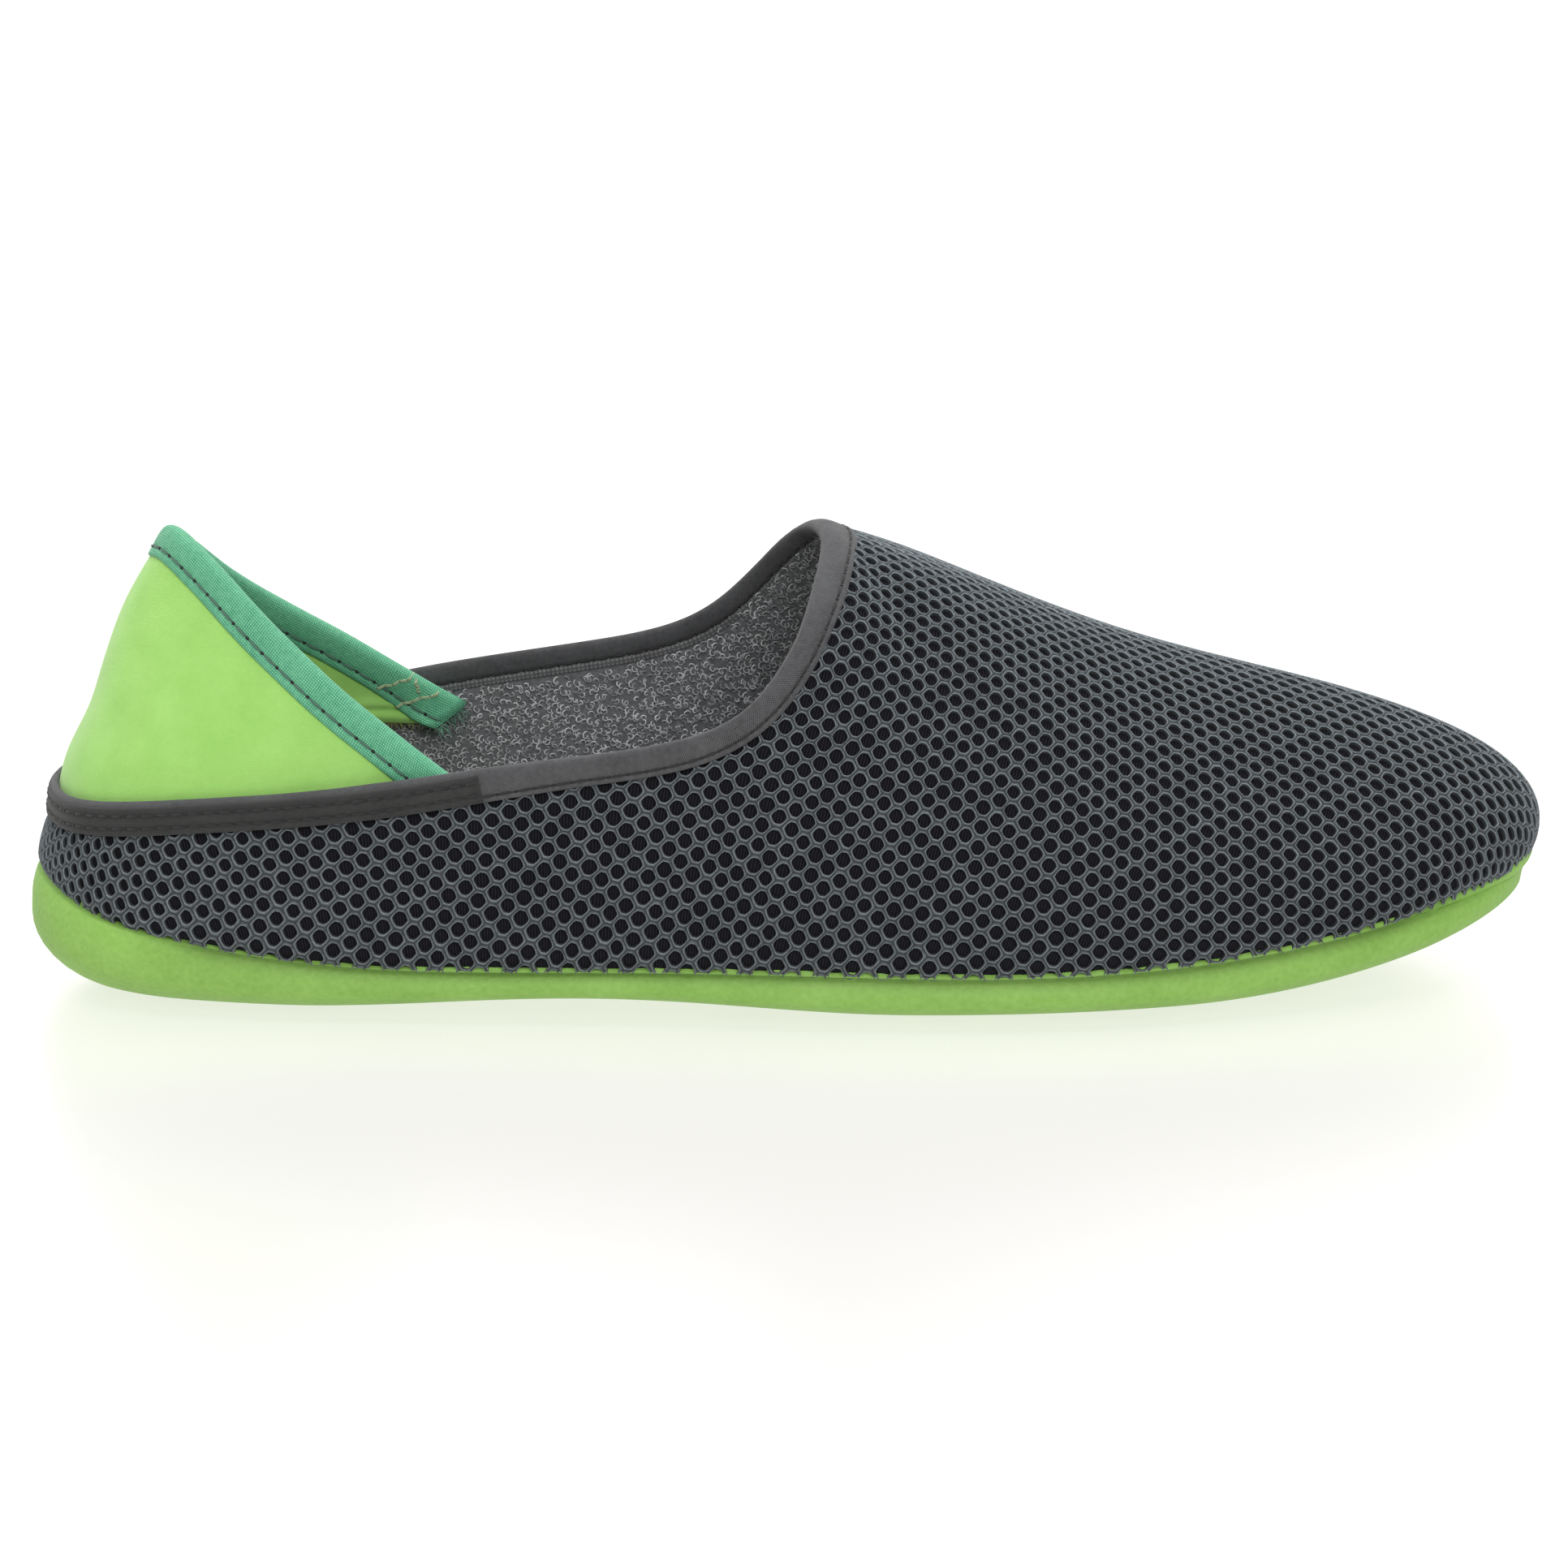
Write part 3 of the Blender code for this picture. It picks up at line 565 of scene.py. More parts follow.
def maths(tree, operation, *inputs):
    return shade("Math", tree, dict(enumerate(inputs)), operation=operation).outputs[0]


def scaled(tree, value, share, rest=0.0):
    """A value times a share, plus the rest."""
    return maths(tree, "MULTIPLY_ADD", value, share, rest)


def wave(tree, value, period):
    """A sine from 0 to 1 along a value, repeating at the period."""
    return scaled(tree, maths(tree, "SINE", scaled(tree, value, 2 * pi / period)), 0.5, 0.5)


def cloth_axes(tree):
    """The two coordinates of the cloth's own map."""
    split = shade("SeparateXYZ", tree, {0: shade("UVMap", tree, uv_map="cloth").outputs[0]})
    return split.outputs[0], split.outputs[1]


def speckle(tree, scale, detail=3.0):
    place = shade("TexCoord", tree).outputs["Object"]
    return shade("TexNoise", tree, {"Vector": place, "Scale": scale, "Detail": detail}).outputs[0]


def ramp(tree, value, stops):
    node = shade("ValToRGB", tree, {0: value})
    band = node.color_ramp
    while len(band.elements) < len(stops):
        band.elements.new(0.5)
    for element, (at, colour) in zip(band.elements, stops):
        element.position = at
        element.color = (*colour, 1.0)
    return node.outputs[0]


def greys(tree, value, stops):
    """A ramp between plain greys."""
    return ramp(tree, value, [(at, (tone, tone, tone)) for at, tone in stops])


def multiply(tree, one, two):
    node = shade("Mix", tree, {0: 1.0, 6: one, 7: two}, data_type="RGBA", blend_type="MULTIPLY")
    return node.outputs[2]


YARN_DARK = (0.084, 0.099, 0.109)
YARN_LIGHT = (0.282, 0.323, 0.348)
# Yarn's relief, also used as painted shade: near black down each hole's wall and darker in the grooves
# between yarns
YARN_DEPTH_AND_SHADE = ((0.0, 0.04), (0.05, 0.25), (0.16, 1.0), (0.6, 1.0), (1.0, 0.55))
YARN_SEAM_DEPTH_AND_SHADE = ((0.0, 1.0), (0.5, 1.0), (0.66, 0.35), (0.76, 0.95), (0.9, 0.8), (1.0, 0.3))
BACKING_DARK = (0.004, 0.004, 0.006)
BACKING_LIGHT = (0.018, 0.018, 0.024)
FOAM_DARK = (0.203, 0.398, 0.066)
FOAM_LIGHT = (0.290, 0.522, 0.112)
# Painted shade on the foam by its level: darkest at the join, where the knit overhangs it
FOAM_PAINTED_SHADE = ((0.0, 1.0), (0.35, 1.0), (0.62, 0.88), (0.76, 0.66), (0.8, 0.6), (0.86, 1.0))
# Painted shade in the groove between a thread's two plies, as a share of its colour
PLY_PAINTED_SHADE = 0.55


def yarn_finish():
    """Slate yarn round each hole: looped plies, with painted shade in the zigzag groove between two yarns and
    in the hole.
    """
    finish, tree, _ = new_finish("slate yarn", 0.8, 0.1, 0.25)
    along, out = cloth_axes(tree)
    zigzag = scaled(tree, wave(tree, along, 0.25), 0.2, out)
    # The twist's darker stripes are painted shade between the plies; the fleck is the yarn's own uneven tone
    twist = wave(tree, scaled(tree, out, 0.5, along), 0.2)
    light = scaled(tree, twist, 0.4, scaled(tree, speckle(tree, 1500.0), 0.6))
    thread = ramp(tree, light, ((0.25, YARN_DARK), (0.75, YARN_LIGHT)))
    # The relief is multiplied into the colour too: painted shade in the holes and in the grooves between
    # yarns
    depth = multiply(tree, greys(tree, out, YARN_DEPTH_AND_SHADE), greys(tree, zigzag, YARN_SEAM_DEPTH_AND_SHADE))
    return dressed(finish, multiply(tree, thread, depth), depth, 0.8, 0.0004)


def backing_finish():
    """Dark knitted backing with fine upright ribs."""
    finish, tree, _ = new_finish("dark backing", 0.9, 0.0, 0.2)
    ribs = wave(tree, cloth_axes(tree)[0], 0.55)
    return dressed(finish, ramp(tree, ribs, ((0.2, BACKING_DARK), (1.0, BACKING_LIGHT))), ribs, 0.6, 0.0003)


def terry_finish(name, dark, light):
    """Terry: the ground, or loops that each have their own depth of grey."""
    finish, tree, _ = new_finish(name, 0.9, 0.3, 0.3)
    fleck = speckle(tree, 1100.0)
    share = scaled(tree, cloth_axes(tree)[0], 0.7, scaled(tree, fleck, 0.3))
    return dressed(finish, ramp(tree, share, ((0.1, dark), (0.9, light))), fleck, 0.6, 0.0003)


def woven_finish(name, dark, light, period, lean, contrast, sheen=0.1):
    """Close weave: threads that cross at a slant, with a slow change of shade."""
    finish, tree, _ = new_finish(name, 0.72, sheen, 0.35)
    along, down = cloth_axes(tree)
    warp = wave(tree, scaled(tree, down, lean, along), period)
    weft = wave(tree, scaled(tree, along, -lean, down), period)
    knots = scaled(tree, maths(tree, "MULTIPLY", warp, weft), 0.65, scaled(tree, speckle(tree, 1100.0), 0.35))
    light_at = scaled(tree, knots, contrast, scaled(tree, speckle(tree, 130.0), 1.0 - contrast))
    return dressed(finish, ramp(tree, light_at, ((0.15, dark), (0.75, light))), knots, 0.5, 0.0002)


def foam_finish():
    """Moulded foam: a fine pebbled skin, a little mottled, with painted shade darkening it up to the join."""
    finish, tree, _ = new_finish("lime foam", 0.55, 0.0, 0.3)
    fine = speckle(tree, 900.0, 4.0)
    mottle = scaled(tree, fine, 0.5, scaled(tree, speckle(tree, 70.0, 4.0), 0.5))
    skin = ramp(tree, mottle, ((0.3, FOAM_DARK), (0.7, FOAM_LIGHT)))
    tone = greys(tree, scaled(tree, cloth_axes(tree)[1], 0.8), FOAM_PAINTED_SHADE)
    return dressed(finish, multiply(tree, skin, tone), fine, 0.4, 0.0004)


def thread_finish(name, tone):
    """Sewing thread: two plies twisted round each other, with painted shade in the groove between them."""
    finish, tree, _ = new_finish(name, 0.6, 0.1, 0.4)
    twist = wave(tree, cloth_axes(tree)[0], 0.16)
    dark = tuple(PLY_PAINTED_SHADE * part for part in tone)
    return dressed(finish, ramp(tree, twist, ((0.2, dark), (0.8, tone))), twist, 0.5, 0.0001)


YARN = yarn_finish()
BACKING = backing_finish()
TERRY_GROUND = terry_finish("terry ground", (0.095, 0.096, 0.101), (0.520, 0.527, 0.546))
TERRY_LOOPS = terry_finish("terry loops", (0.210, 0.212, 0.220), (0.620, 0.626, 0.640))
TWILL = woven_finish("grey twill", (0.018, 0.018, 0.020), (0.135, 0.135, 0.142), 0.40, 1.0, 0.75)
TAPE = woven_finish("grey tape", (0.009, 0.009, 0.009), (0.056, 0.056, 0.055), 0.40, 1.0, 0.75)
# The binding's hem on its inner face, with its own weave, painted lighter than the twill to stand for the
# light there
HEM_PAINTED_LIGHTER = woven_finish("grey hem painted lighter", (0.060, 0.060, 0.063), (0.220, 0.220, 0.226), 0.8, 0.0, 0.8)
STRETCH = woven_finish("lime stretch", (0.268, 0.556, 0.102), (0.388, 0.702, 0.182), 0.40, 0.6, 0.4, 0.25)
EMERALD = woven_finish("emerald tape", (0.035, 0.235, 0.121), (0.240, 0.640, 0.396), 0.44, 0.0, 0.85)
FOAM = foam_finish()
DARK_THREAD = thread_finish("dark thread", (0.020, 0.020, 0.021))
GREEN_THREAD = thread_finish("green thread", (0.085, 0.195, 0.138))
FRAYED_THREAD = thread_finish("frayed thread", (0.260, 0.540, 0.400))
OLIVE_THREAD = thread_finish("olive thread", (0.480, 0.590, 0.350))
RAW_EDGE = thread_finish("raw edge", (0.330, 0.300, 0.090))
# Near-black dots sunk at the needle's holes are painted shade in each hole
NEEDLE_HOLE_SHADE = thread_finish("needle hole shade", (0.006, 0.007, 0.007))


# The upper's cloth laid flat

PATTERN_RIBS = 4
PATTERN_ROWS = 8
PATTERN_ROUNDS = 60
PATTERN_STIFFNESS = (0.02, 20.0)


def upper_grid(per, heights):
    """Outer surface of the upper over places and heights, numbered with both sides joined at the ridge."""
    places = np.arange(RING_PLACES * per + 1) / per
    grid = np.array([upper_point(places, height) for height in heights])
    index = np.arange(grid.shape[0] * grid.shape[1]).reshape(grid.shape[:2])
    medial = np.nonzero((places > TOE) & (places <= RING_PLACES - THROAT))[0]
    index[-1, medial] = index[-1, len(places) - 1 - medial]
    return places, grid, index, quads_of(index)


def halves(quads):
    """Two triangles for each quad, without those that have shrunk to a line."""
    sides = np.vstack([quads[:, [0, 1, 2]], quads[:, [0, 2, 3]]])
    return sides[(sides != np.roll(sides, -1, axis=1)).all(axis=1)]


def petal_start(grid, places):
    """First guess at the flat pattern: every rib laid out level from its top."""
    below = climbs(grid[::-1])[::-1]
    return grid[-1, :, :2] + below[:, :, None] * outward(places)[:, :2]


def flat_pattern():
    """The upper's cloth cut at the heel back and laid flat with as little stretch as can be."""
    heights = np.linspace(0.0, 1.0, PATTERN_ROWS + 1)
    places, grid, index, quads = upper_grid(PATTERN_RIBS, heights)
    used = np.unique(index)
    number = np.full(index.size, -1)
    number[used] = np.arange(len(used))
    tris, index = number[halves(quads)], number[index]
    space, flat = grid.reshape(-1, 3)[used], petal_start(grid, places).reshape(-1, 2)[used]
    first, second = (space[tris[:, corner]] - space[tris[:, 0]] for corner in (1, 2))
    along = unit(first)
    local = np.zeros((len(tris), 3, 2))
    local[:, 1, 0] = np.linalg.norm(first, axis=1)
    local[:, 2, 0] = np.sum(second * along, axis=1)
    local[:, 2, 1] = np.linalg.norm(np.cross(along, second), axis=1)
    spans = []
    stiff = np.zeros((len(used), len(used)))
    for corner in range(3):
        one, two = (corner + 1) % 3, (corner + 2) % 3
        p, q = local[:, one] - local[:, corner], local[:, two] - local[:, corner]
        weight = np.clip(np.sum(p * q, axis=1) / np.abs(flat_cross(p, q)), *PATTERN_STIFFNESS)
        spans.append((tris[:, one], tris[:, two], weight[:, None], local[:, one] - local[:, two]))
        for a, b, sign in ((one, two, -1.0), (two, one, -1.0), (one, one, 1.0), (two, two, 1.0)):
            np.add.at(stiff, (tris[:, a], tris[:, b]), sign * weight)
    answer = np.linalg.inv(stiff[1:, 1:])
    first, second = (flat[tris[:, corner]] - flat[tris[:, 0]] for corner in (1, 2))
    mirror = np.array([1.0, np.sign(np.median(flat_cross(first, second)))])
    for _ in range(PATTERN_ROUNDS):
        pull = np.zeros((len(tris), 2, 2))
        for one, two, weight, span in spans:
            pull += weight[:, :, None] * (flat[one] - flat[two])[:, :, None] * (span * mirror)[:, None, :]
        angle = np.arctan2(pull[:, 1, 0] - pull[:, 0, 1], pull[:, 0, 0] + pull[:, 1, 1])
        level, tilt = np.cos(angle), np.sin(angle)
        turn = np.stack([level, -tilt, tilt, level], axis=1).reshape(-1, 2, 2)
        target = np.zeros_like(flat)
        for one, two, weight, span in spans:
            force = weight * np.einsum("kij,kj->ki", turn, span * mirror)
            np.add.at(target, one, force)
            np.add.at(target, two, -force)
        flat = np.vstack([np.zeros((1, 2)), answer @ target[1:]])
    start, end = flat[index[-1, THROAT * PATTERN_RIBS]], flat[index[-1, TOE * PATTERN_RIBS]]
    way = unit(end - start)
    flat = (flat - start) @ np.array([[way[0], -way[1]], [way[1], way[0]]])
    return flat[index], places, heights


def spread(values, places, heights, fine_places, fine_heights):
    """Values on a coarse grid carried over to a finer one by smooth curves, with a break at the throat."""
    middle = np.zeros((len(heights), len(fine_places), values.shape[2]))
    breaks = (0, THROAT, RING_PLACES - THROAT, RING_PLACES)
    for start, end in zip(breaks, breaks[1:]):
        own = (places >= start) & (places <= end)
        fine = (fine_places >= start) & (fine_places <= end)
        run = values[:, own].transpose(1, 0, 2).reshape(own.sum(), -1)
        found = Spline(places[own], run)(fine_places[fine])
        middle[:, fine] = found.reshape(fine.sum(), len(heights), -1).transpose(1, 0, 2)
    found = Spline(heights, middle.reshape(len(heights), -1))(fine_heights)
    return found.reshape(len(fine_heights), len(fine_places), -1)


# Knit: how its rows of holes run over the flat cloth, per 100 mm, with their first to third powers,
# and how they turn round the heel and the toe. Beyond the ridge only the even part goes on.
ROWS_UP = (-11.79, 43.27, 7.27, 2.13, -3.26, 7.88, -3.61, 4.02, -11.16, 2.25, -62.62, -131.0, -69.17,
           3.51, 4.06)
ROWS_ACROSS = (20.98, -23.86, 25.37, -5.54, -0.94, -7.13, 2.56, -1.23, 4.71, -5.05, 19.87, 58.89, 41.80,
               -0.44, 3.03)
HEEL_TURN = -0.45
TOE_TURN = 0.60
MEDIAL_TURN = -0.3

# The cloth's density, how its foot rolls in at the toe and is tucked into the sole, how deep its layers
# lie, and how the collar's tape presses it
CLOTH_RIBS = 16
CLOTH_ROWS = 40
ROLL_IN = ((11.6, 1.0), (12.6, 0.4))
ROLL_RUN = 2.6
TUCKED = (2.2, 1.1)
KNIT_DEPTH = 0.5
LINING_DEPTH = 2.0
LINING_THINNER = 1.3
LINING_TAPER = 14.0
PRESSED = 0.55
PRESS_EDGE = 4.0
PRESS_RUN = 3.0


def by_collar(places):
    """1 round the collar, falling to 0 at the throat."""
    return np.clip(THROAT - np.abs(signed(places)), 0.0, 1.0)


def knit_rows(flat):
    """Where a point of the flat cloth lies in the rows of holes."""
    u, v = flat[..., 0] / 100.0, flat[..., 1] / 100.0
    side = np.minimum(v, 0.0)
    bent = np.where(v < 0.0, u, np.maximum(u, MEDIAL_TURN))
    square, cube = bent * (2.0 * u - bent), bent * bent * (3.0 * u - 2.0 * bent)
    heel = np.where(v < 0.0, np.maximum(HEEL_TURN - u, 0.0) ** 2, 0.0)
    toe = np.maximum(u - TOE_TURN, 0.0) ** 2
    powers = np.stack([np.ones_like(u), u, v, square, u * side, side * side,
                       cube, u * u * side, u * side * side, side ** 3,
                       heel, heel * side, heel * side * side, toe, toe * side], axis=-1)
    return np.stack([powers @ np.array(ROWS_UP), powers @ np.array(ROWS_ACROSS)], axis=-1)


Found = namedtuple("Found", "points normals climb lining below known")


class Cloth:
    """The upper's outer surface in fine facets, with its flat pattern and its rows of holes."""

    def __init__(self):
        heights = np.linspace(0.0, 1.0, CLOTH_ROWS + 1)
        self.places, grid, index, quads = upper_grid(CLOTH_RIBS, heights)
        flat = spread(*flat_pattern(), self.places, heights)
        normals = np.zeros((index.size, 3))
        tris = halves(quads)
        corner = grid.reshape(-1, 3)[tris]
        face = np.cross(corner[:, 1] - corner[:, 0], corner[:, 2] - corner[:, 0])
        for column in range(3):
            np.add.at(normals, tris[:, column], face)
        normals = normals[index]
        normals[:, 0] = normals[:, -1] = normals[:, 0] + normals[:, -1]
        normals = facing(unit(normals), grid, INSIDE)
        climb = climbs(grid)
        rolled = along_ring(self.places, ROLL_IN) * np.clip(1.0 - climb / ROLL_RUN, 0.0, 1.0) ** 2
        grid = grid - outward(self.places) * rolled[:, :, None]
        below = climb[-1] - climb
        collar = by_collar(self.places)
        pressed = PRESSED * collar * np.clip(1.0 - (below - PRESS_EDGE) / PRESS_RUN, 0.0, 1.0)
        grid = grid - normals * pressed[:, :, None]
        thinner = LINING_THINNER * collar * np.clip(1.0 - below / LINING_TAPER, 0.0, 1.0)
        lining = LINING_DEPTH - thinner - pressed
        slope = (flat[1] - flat[0]) / climb[1][:, None]
        tucked = np.array(TUCKED)[:, None, None]
        self.grid = np.concatenate([grid[:1] - tucked * np.array([0.0, 0.0, 1.0]), grid])
        self.flat = np.concatenate([flat[:1] - tucked * slope, flat])
        under = np.broadcast_to(-tucked[:, :, 0], (len(TUCKED), len(self.places)))
        self.climb = np.concatenate([under, climb])
        self.normals, self.lining, self.below = (np.concatenate([value[:1]] * len(TUCKED) + [value])
                                                 for value in (normals, lining, below))
        first = len(TUCKED) * len(self.places)
        self.tris = halves(np.vstack([grid_faces(len(TUCKED) + 1, len(self.places)), quads + first]))
        self.rows = knit_rows(self.flat)
        self.flat_points = np.pad(self.rows, ((0, 0), (0, 0), (0, 1))).reshape(-1, 3)
        self.tree = BVHTree.FromPolygons(self.flat_points.tolist(), self.tris.tolist())

    def at(self, rows):
        """Points, outward directions, climbs and the lining's depth at places given in rows of holes."""
        found = np.full(len(rows), -1)
        down = Vector((0.0, 0.0, -1.0))
        for number, (up, across) in enumerate(rows.tolist()):
            hit = self.tree.ray_cast(Vector((up, across, 1.0)), down)
            if hit[2] is not None:
                found[number] = hit[2]
        tri = self.tris[found]
        a, b, c = (self.flat_points[tri[:, k], :2] for k in range(3))
        p, q, r = b - a, c - a, rows - a
        area = flat_cross(p, q)
        two, three = flat_cross(r, q) / area, flat_cross(p, r) / area
        shares = np.stack([1.0 - two - three, two, three], axis=1)
        points, normals = (np.sum(value.reshape(-1, 3)[tri] * shares[:, :, None], axis=1)
                           for value in (self.grid, self.normals))
        climb, lining, below = (np.sum(value.reshape(-1)[tri] * shares, axis=1)
                                for value in (self.climb, self.lining, self.below))
        return Found(points, unit(normals), climb, lining, below, found >= 0)

    def above_sole(self, climb):
        """Points and outward directions at a climb above the foot line for every rib."""
        points, normals = (np.array([between(climb[column], self.climb[:, column], value[:, column])
                                     for column in range(len(self.places) - 1)])
                           for value in (self.grid, self.normals))
        return points, unit(normals)


def lattice(low, high, step):
    """Points of a flat square lattice, as rows of two."""
    ways = [np.arange(low[way], high[way], step) for way in range(2)]
    return np.stack(np.meshgrid(*ways, indexing="ij"), axis=-1).reshape(-1, 2)


# Knit upper: the two steps from hole to hole as lengths and angles, the holes' size, and the yarn's
# section as shares of the way out from a hole with heights over the cloth

STEP_UP = (3.15, 45.0)
STEP_ACROSS = (3.55, 98.0)
EDGE_STEPS_OF_HOLE = 3
HOLE_RADIUS = 1.24
HOLE_CORNER = 0.35
HOLE_UNEVEN = 0.035
HOLE_DRIFT = 0.06
HEEL_HOLE_RUN = 90.0
HEEL_HOLE_LESS = 0.12
KNIT_PROFILE = ((0.0, -0.60), (0.05, 0.12), (0.30, 0.50), (1.0, 0.14))
CELLS_A_PIECE = 1600
HALF_CELL = ((0.5, 0.0), (-0.5, 0.0), (0.0, 0.5), (0.0, -0.5))


def cell_outline():
    """Corners of the six-sided cell round a hole, in rows of holes, with points along each side."""
    step = np.array([[length * cos(radians(angle)), length * sin(radians(angle))]
                     for length, angle in (STEP_UP, STEP_ACROSS)])
    third = step[1] - step[0]
    ring = np.array([step[0], step[1], third, -step[0], -step[1], -third])
    corners = np.array([np.linalg.solve(2.0 * np.array([one, two]), [one @ one, two @ two])
                        for one, two in zip(ring, np.roll(ring, -1, axis=0))])
    shares = np.arange(EDGE_STEPS_OF_HOLE)[:, None] / EDGE_STEPS_OF_HOLE
    outline = np.concatenate([one + (two - one) * shares
                              for one, two in zip(corners, np.roll(corners, -1, axis=0))])
    return outline, np.linalg.inv(step)


def knit_cells(cloth):
    """Yarn round every hole of the knit, in a few joined meshes."""
    outline, to_rows = cell_outline()
    reach = np.linalg.norm(outline, axis=1)
    every = cloth.rows.reshape(-1, 2)
    centres = lattice(np.floor(every.min(axis=0)) - 1, np.ceil(every.max(axis=0)) + 1, 1.0)
    middle = cloth.at(centres)
    near = middle.known
    for way in HALF_CELL:
        near |= cloth.at(centres + np.array(way)).known
    centres = centres[near]
    by_heel = np.clip(1.0 - middle.points[near, 0] / HEEL_HOLE_RUN, 0.0, 1.0)[:, None]
    count, levels, corners = len(centres), len(KNIT_PROFILE), len(outline)
    hole = HOLE_RADIUS * (1.0 - HOLE_CORNER) + HOLE_CORNER * reach * HOLE_RADIUS / reach.mean()
    uneven = HOLE_UNEVEN * RANDOM.standard_normal((count, 1)).clip(-2, 2)
    hole = hole * (1.0 - HEEL_HOLE_LESS * by_heel + uneven)
    drift = HOLE_DRIFT * RANDOM.standard_normal((count, 1, 2)).clip(-2, 2)
    layers = []
    for share, _ in KNIT_PROFILE:
        radius = hole + (reach - hole) * share
        ring = outline / reach[:, None] * radius[:, :, None] + drift * (1.0 - share)
        layers.append(centres[:, None, :] + ring @ to_rows)
    found = cloth.at(np.stack(layers, axis=1).reshape(-1, 2))
    out, proud = np.array(KNIT_PROFILE).T
    points = found.points + found.normals * np.tile(np.repeat(proud, corners), count)[:, None]
    index = np.arange(count * levels * corners).reshape(count, levels, corners)
    quads = quads_of(index, closed=True)[:, TURNED_OVER].reshape(count, -1, 4)
    around = np.arange(corners) / EDGE_STEPS_OF_HOLE
    uv = np.stack([np.tile(around, count * levels), np.tile(np.repeat(out, corners), count)], axis=1)
    for number, first in enumerate(range(0, count, CELLS_A_PIECE)):
        own = quads[first:first + CELLS_A_PIECE].reshape(-1, 4)
        own = own[found.known[own].all(axis=1)]
        used, faces = np.unique(own, return_inverse=True)
        add_mesh(f"knit_{number + 1}", points[used], [faces.reshape(-1, 4)], YARN, UPPER, uv[used])


def cloth_layer(name, grid, finish, own, uv, way):
    """A plain layer of the upper, facing out (1) or in (-1)."""
    faces = grid_faces(*grid.shape[:2], closed=True)[:, ::way]
    add_mesh(name, grid.reshape(-1, 3), [faces], finish, own, uv)


# Terry loops: half their width, how low they sit, their yarn, and how far each leans and is its own size

LOOP_HALF = 0.5
LOOP_LOW = 0.62
LOOP_RADIUS = 0.15
LOOP_SIDES = 3
LOOP_LEAN = (0.9, 3.2)
LOOP_SIZE = (0.75, 1.2)
LOOP_TURN = (-0.38 * pi, 1.36 * pi)
LOOP_SKEW = 0.2
LOOPS_A_PIECE = 3600
LINING_LOOP_STEPS = 7
LINING_LOOP_STEP = 0.395
LINING_LOOP_STRAY = 0.17
LINING_FRONT = 152.0
LINING_LOW = 3.2
LINING_TOP = 4.3
GROUND_TONE = 0.12


def terry_loops(name, roots, normals, steps, own):
    """Small loops of yarn curled over on a surface, each turned and leaning its own way."""
    turn = np.linspace(*LOOP_TURN, steps)
    wide = LOOP_HALF * np.cos(turn)
    tall = LOOP_HALF * np.sin(turn) + LOOP_LOW * LOOP_HALF
    skew = np.linspace(-LOOP_SKEW, LOOP_SKEW, steps)
    for number, first in enumerate(range(0, len(roots), LOOPS_A_PIECE)):
        root, normal = roots[first:first + LOOPS_A_PIECE], normals[first:first + LOOPS_A_PIECE]
        count = len(root)
        loose = unit(np.cross(normal, RANDOM.standard_normal((count, 3))))
        other = np.cross(normal, loose)
        lean = RANDOM.uniform(*LOOP_LEAN, (count, 1))
        size = RANDOM.uniform(*LOOP_SIZE, (count, 1, 1))
        rise = unit(normal + other * lean)
        curl = loose[:, None, :] * wide[:, None] + rise[:, None, :] * tall[:, None]
        paths = root[:, None, :] + size * (curl + other[:, None, :] * skew[:, None])
        points, blocks = tubes(paths, LOOP_RADIUS, LOOP_SIDES, np.cross(loose, rise))
        tone = np.repeat(RANDOM.uniform(0.0, 1.0, count), steps * LOOP_SIDES)
        add_mesh(f"{name}_{number + 1}", points, blocks, TERRY_LOOPS, own, tone)


def lining_loops(cloth):
    """Loops on the lining, from the heel to a little way under the vamp."""
    every = cloth.rows.reshape(-1, 2)
    rows = lattice(every.min(axis=0), every.max(axis=0), LINING_LOOP_STEP)
    rows = rows + RANDOM.uniform(-LINING_LOOP_STRAY, LINING_LOOP_STRAY, rows.shape)
    found = cloth.at(rows)
    roots = found.points - found.normals * found.lining[:, None]
    kept = found.known & (roots[:, 0] < LINING_FRONT)
    kept &= (found.climb > LINING_LOW) & (found.below > LINING_TOP)
    terry_loops("lining_loops", roots[kept], -found.normals[kept], LINING_LOOP_STEPS, LINING)


# The lining's lower edge: climbs on the wall, how far off it, then insets with shares of the way down
FOOT_CLIMBS = (2.0, 0.3)
FOOT_OFF = 0.06
FOOT_TURN = ((RIM_WIDTH + 0.1, -0.03), (RIM_WIDTH + 0.5, 0.15), (RIM_WIDTH + CUP_DRAFT + 0.6, 1.0))
FOOT_LOW = 0.6


def lining_foot(cloth):
    """The lining's lower edge, turned over the foam's rim and down behind the footbed."""
    places = cloth.places[:-1]
    foot, out = foot_point(places), outward(places)
    rows = []
    for climb in FOOT_CLIMBS:
        points, normals = cloth.above_sole(np.full(len(places), climb))
        rows.append(points - normals * (LINING_DEPTH + FOOT_OFF))
    low = cup_floor(foot[:, 0]) + GAP + FOOT_LOW * INSOLE_THICKNESS
    for inset, share in FOOT_TURN:
        ring = foot - out * inset
        ring[:, 2] = foot[:, 2] + (low - foot[:, 2]) * share
        rows.append(ring)
    cloth_layer("lining_foot", np.array(rows), TERRY_GROUND, LINING, GROUND_TONE, 1)


# Insole: its density, its upright side as a share of its thickness, and the lattice of its loops

ACROSS_STEPS = 14
LENGTH_RIBS = 8
BEVEL_ROWS = 5
INSOLE_UPRIGHT = 0.55
INSOLE_LOOP_STEPS = 6
INSOLE_LOOP_STEP = 1.7
INSOLE_LOOP_STRAY = 0.5
INSOLE_LOOP_BOX = ((4.0, -44.0), (150.0, 48.0))
INSOLE_LOOP_CLEAR = 0.4
OUTLINE_STEP = 0.05


